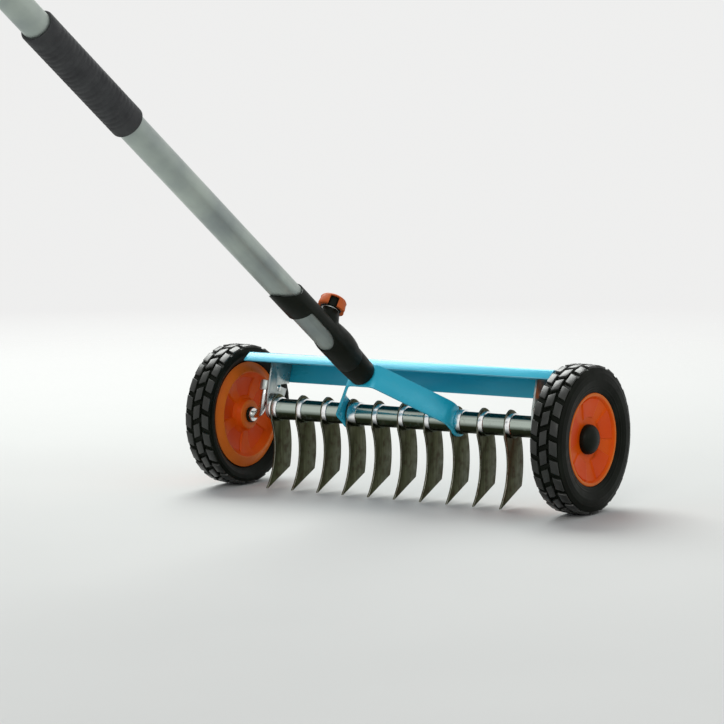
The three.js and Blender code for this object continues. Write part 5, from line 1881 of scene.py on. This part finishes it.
    def grips(self) -> None:
        """Turn the lower hand grip, the end grip and the end cap."""
        colours = self.palette
        bore = self.pole_radius + self.grip_gap
        start = self.pole_foot + self.mid_grip_along
        end = self.pole_end
        mid = self.mid_ribs.profile(start, start + self.mid_grip_length, bore)
        grip = self.end_ribs.profile(end - self.end_grip_length, end, bore)
        seat = end + self.grip_gap
        crown = dome(seat, self.cap_height, self.cap_radius, self.cap_angles)
        cap = [*lifted(self.cap_plug, seat), *crown, (seat + self.cap_height, 0)]
        for name, profile, material, node in (
            ("mid_grip_ribbed", mid, colours.grip, "mid_grip"),
            ("end_grip_ribbed", grip, colours.grip, "end_grip"),
            ("pole_end_cap_domed", cap, colours.black, "pole_end_cap"),
        ):
            piece = self.turned(name, profile, Axis.UP, material, 0.25)
            self.settle(self.seat(piece), Body.HANDLE, node)

    def knob(self) -> Piece:
        """The knob's waisted shell, with pockets that show the black core.

        Returns:
            The shell, about the lock's own axis.
        """
        shell = Workbench.turned("lock_knob_fluted", lifted(self.knob_shell, self.knob_foot), Axis.UP)
        spot = (self.pocket_out, 0, self.knob_foot + self.pocket_up)
        for index in range(self.pocket_count):
            pocket = Workbench.fix_place(Workbench.block("pocket", self.pocket_size, spot))
            Workbench.break_edges(pocket, 1.0)
            turn = FULL_TURN * index / self.pocket_count + math.radians(self.knob_turn)
            Workbench.combine(shell, Workbench.place(pocket, (0, 0, turn)))
        self.dress(shell, self.palette.knob)
        Workbench.break_edges(shell, 0.35)
        return shell

    def thread(self) -> Profile:
        """Profile of the lock screw, its thread drawn as rings.

        Returns:
            Pairs of place along the axis and radius.
        """
        start = self.screw_start
        end = self.screw_end
        pitch = self.thread_pitch
        profile = [(start, 0), (start, self.screw_core)]
        for ring in range(int((end - start - 2 * pitch) / pitch)):
            along = start + pitch + ring * pitch
            profile += [(along, self.thread_root), (along + pitch / 2, self.thread_crest)]
        return [*profile, (end - pitch / 2, self.thread_root), (end, self.screw_core), (end, 0)]

    def lock(self) -> None:
        """Model the knob, its core, its washer and its screw."""
        colours = self.palette
        hole = self.screw_hole[1]
        core = lifted(self.knob_core, self.knob_foot)
        washer = barrel(self.washer_start, self.washer_end, self.washer_radius, hole)
        for piece, body, node in (
            (self.knob(), Body.LOCK, "lock_knob"),
            (self.turned("knob_core_moulded", core, Axis.UP, colours.black, 0.2, KNOB_SIDES), Body.LOCK,
             "knob_core"),
            (self.turned("knob_washer_pressed", washer, Axis.UP, colours.zinc, 0.2, KNOB_SIDES), Body.WASHER,
             "knob_washer"),
            (self.turned("lock_screw_threaded", self.thread(), Axis.UP, colours.rod, 0.05, SMALL_SIDES, 1),
             Body.LOCK, "lock_screw"),
        ):
            self.settle(self.seat(self.on_lock(piece)), body, node)

    def build(self) -> None:
        """Model the yoke and all that it carries."""
        colours = self.palette
        # The yoke's broken edges take the painted edge highlight.
        self.refined("yoke", "yoke_painted", Body.YOKE, (colours.paint, colours.highlit_paint_edge), 0.45)
        self.refined("socket_bolt", "socket_bolt_chamfered", Body.YOKE, (colours.rod,), 0.35)
        self.socket()
        self.sleeve()
        self.pole()
        self.grips()
        self.lock()


@dataclass(frozen=True)
class Lamp:
    """A soft rectangular light, in metres and watts."""

    name: str
    spot: Triple
    size: Pair
    watts: float
    colour: Colour = (1.0, 0.98, 0.94)

    def hang(self, aim: Triple) -> None:
        """Hang the light.

        Args:
            aim: The point that it faces.
        """
        Workbench.rest()
        bpy.ops.object.light_add(type="AREA", location=self.spot)
        light = bpy.context.active_object
        light.name = self.name
        light.rotation_euler = (Vector(aim) - Vector(self.spot)).to_track_quat("-Z", "Y").to_euler()
        light.data.shape = "RECTANGLE"
        light.data.size, light.data.size_y = self.size
        light.data.energy = self.watts
        light.data.color = self.colour


@dataclass(frozen=True)
class Stage:
    """A pale floor, soft light and the photograph's camera. Lengths are in metres, angles in degrees."""

    floor_half: float = 5.0
    floor_cuts: int = 4
    floor_solid: float = 1.0
    floor_gone: float = 2.6
    floor_colour: Colour = (0.66, 0.66, 0.65)
    floor_shade: float = 0.985
    backdrop: Colour = (0.86, 0.86, 0.855)
    sky_colour: Colour = (0.93, 0.96, 1.0)
    sky_light: float = 0.42
    lit_point: Triple = (0.0, 0.45, 0.1)
    lamps: tuple[Lamp, ...] = (
        Lamp("sky_panel", (-1.8, 2.1, 2.7), (2.8, 2.8), 146.0, (0.97, 1.0, 0.97)),
        Lamp("front_fill", (1.6, -3.0, 2.2), (2.2, 1.6), 36.0),
        Lamp("side_fill", (3.2, 0.4, 1.6), (1.6, 1.2), 7.0),
    )
    eye: Triple = (1.73454, -2.05907, 0.49189)
    yaw: float = 34.384
    pitch: float = 6.383
    roll: float = -0.865
    lens: float = 152.74
    sensor: float = 36.0
    sight: Pair = (0.1, 100.0)

    def floor(self) -> None:
        """Lay a wide pale floor that fades into the backdrop."""
        Workbench.rest()
        bpy.ops.mesh.primitive_plane_add(size=2 * self.floor_half)
        floor = bpy.context.active_object
        floor.name = "studio_floor"
        with Workbench.editing(floor):
            bpy.ops.mesh.subdivide(number_cuts=self.floor_cuts)
        sheet = NodeSheet("studio_floor_matt")
        cloud = sheet.noise(3, 3)
        low = tuple(channel * self.floor_shade for channel in self.floor_colour)
        colour = sheet.patches(self.floor_colour, low, cloud, NOISE_LOW, NOISE_HIGH)
        roughness = sheet.spread(cloud, NOISE_LOW, NOISE_HIGH, 0.85, 0.95)
        material = sheet.finish(colour, roughness, sheet.bump(sheet.noise(300), 0.05, 0.05),
                                Specular_IOR_Level=0.1)
        far = sheet.add("ShaderNodeVectorMath")
        far.operation = "LENGTH"
        sheet.link(sheet.place, far.inputs[0])
        fade = sheet.spread(far.outputs["Value"], self.floor_solid, self.floor_gone, 1, 0)
        sheet.link(fade, sheet.shader.inputs["Alpha"])
        floor.data.materials.append(material)

    def sky(self) -> None:
        """Even soft light from all round, seen as a pale backdrop, in reflections too."""
        world = bpy.data.worlds.new("studio_world")
        bpy.context.scene.world = world
        world.use_nodes = True
        nodes = world.node_tree.nodes
        join = world.node_tree.links.new
        shown = nodes["Background"]
        shown.inputs["Color"].default_value = (*self.backdrop, 1)
        lit = nodes.new("ShaderNodeBackground")
        lit.inputs["Color"].default_value = (*self.sky_colour, 1)
        lit.inputs["Strength"].default_value = self.sky_light
        ray = nodes.new("ShaderNodeLightPath")
        seen = ray.outputs["Is Camera Ray"]
        for other in ("Is Glossy Ray", "Is Transmission Ray"):
            either = nodes.new("ShaderNodeMath")
            either.operation = "MAXIMUM"
            join(seen, either.inputs[0])
            join(ray.outputs[other], either.inputs[1])
            seen = either.outputs[0]
        mix = nodes.new("ShaderNodeMixShader")
        for index, source in enumerate((seen, lit.outputs[0], shown.outputs[0])):
            join(source, mix.inputs[index])
        join(mix.outputs[0], nodes["World Output"].inputs["Surface"])

    def camera(self) -> None:
        """Set the camera where the photograph was taken from."""
        yaw, pitch, roll = (math.radians(angle) for angle in (self.yaw, self.pitch, self.roll))
        right = Vector((math.cos(yaw), math.sin(yaw), 0))
        ahead = Vector((-math.sin(yaw) * math.cos(pitch), math.cos(yaw) * math.cos(pitch), -math.sin(pitch)))
        up = right.cross(ahead)
        rolled_right = math.cos(roll) * right + math.sin(roll) * up
        rolled_up = -math.sin(roll) * right + math.cos(roll) * up
        axes = Matrix((rolled_right, rolled_up, -ahead)).transposed().to_4x4()
        Workbench.rest()
        bpy.ops.object.camera_add()
        camera = bpy.context.active_object
        camera.name = "photo_camera"
        camera.matrix_world = Matrix.Translation(Vector(self.eye)) @ axes
        camera.data.lens = self.lens
        camera.data.sensor_width = self.sensor
        camera.data.clip_start, camera.data.clip_end = self.sight
        bpy.context.scene.camera = camera
        bpy.context.scene.view_settings.view_transform = "Standard"

    def build(self) -> None:
        """Set the stage, the lights and the camera."""
        self.floor()
        self.sky()
        for lamp in self.lamps:
            lamp.hang(self.lit_point)
        self.camera()


def main() -> None:
    """Build every sub-assembly."""
    logging.basicConfig(level=logging.INFO, format="%(message)s")
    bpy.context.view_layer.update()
    Stage().build()
    palette = Palette()
    for sub_assembly in (FrameAndChannel, Wheel, KnifeStack, Handle):
        sub_assembly(palette).build()


if __name__ == "__main__":
    main()
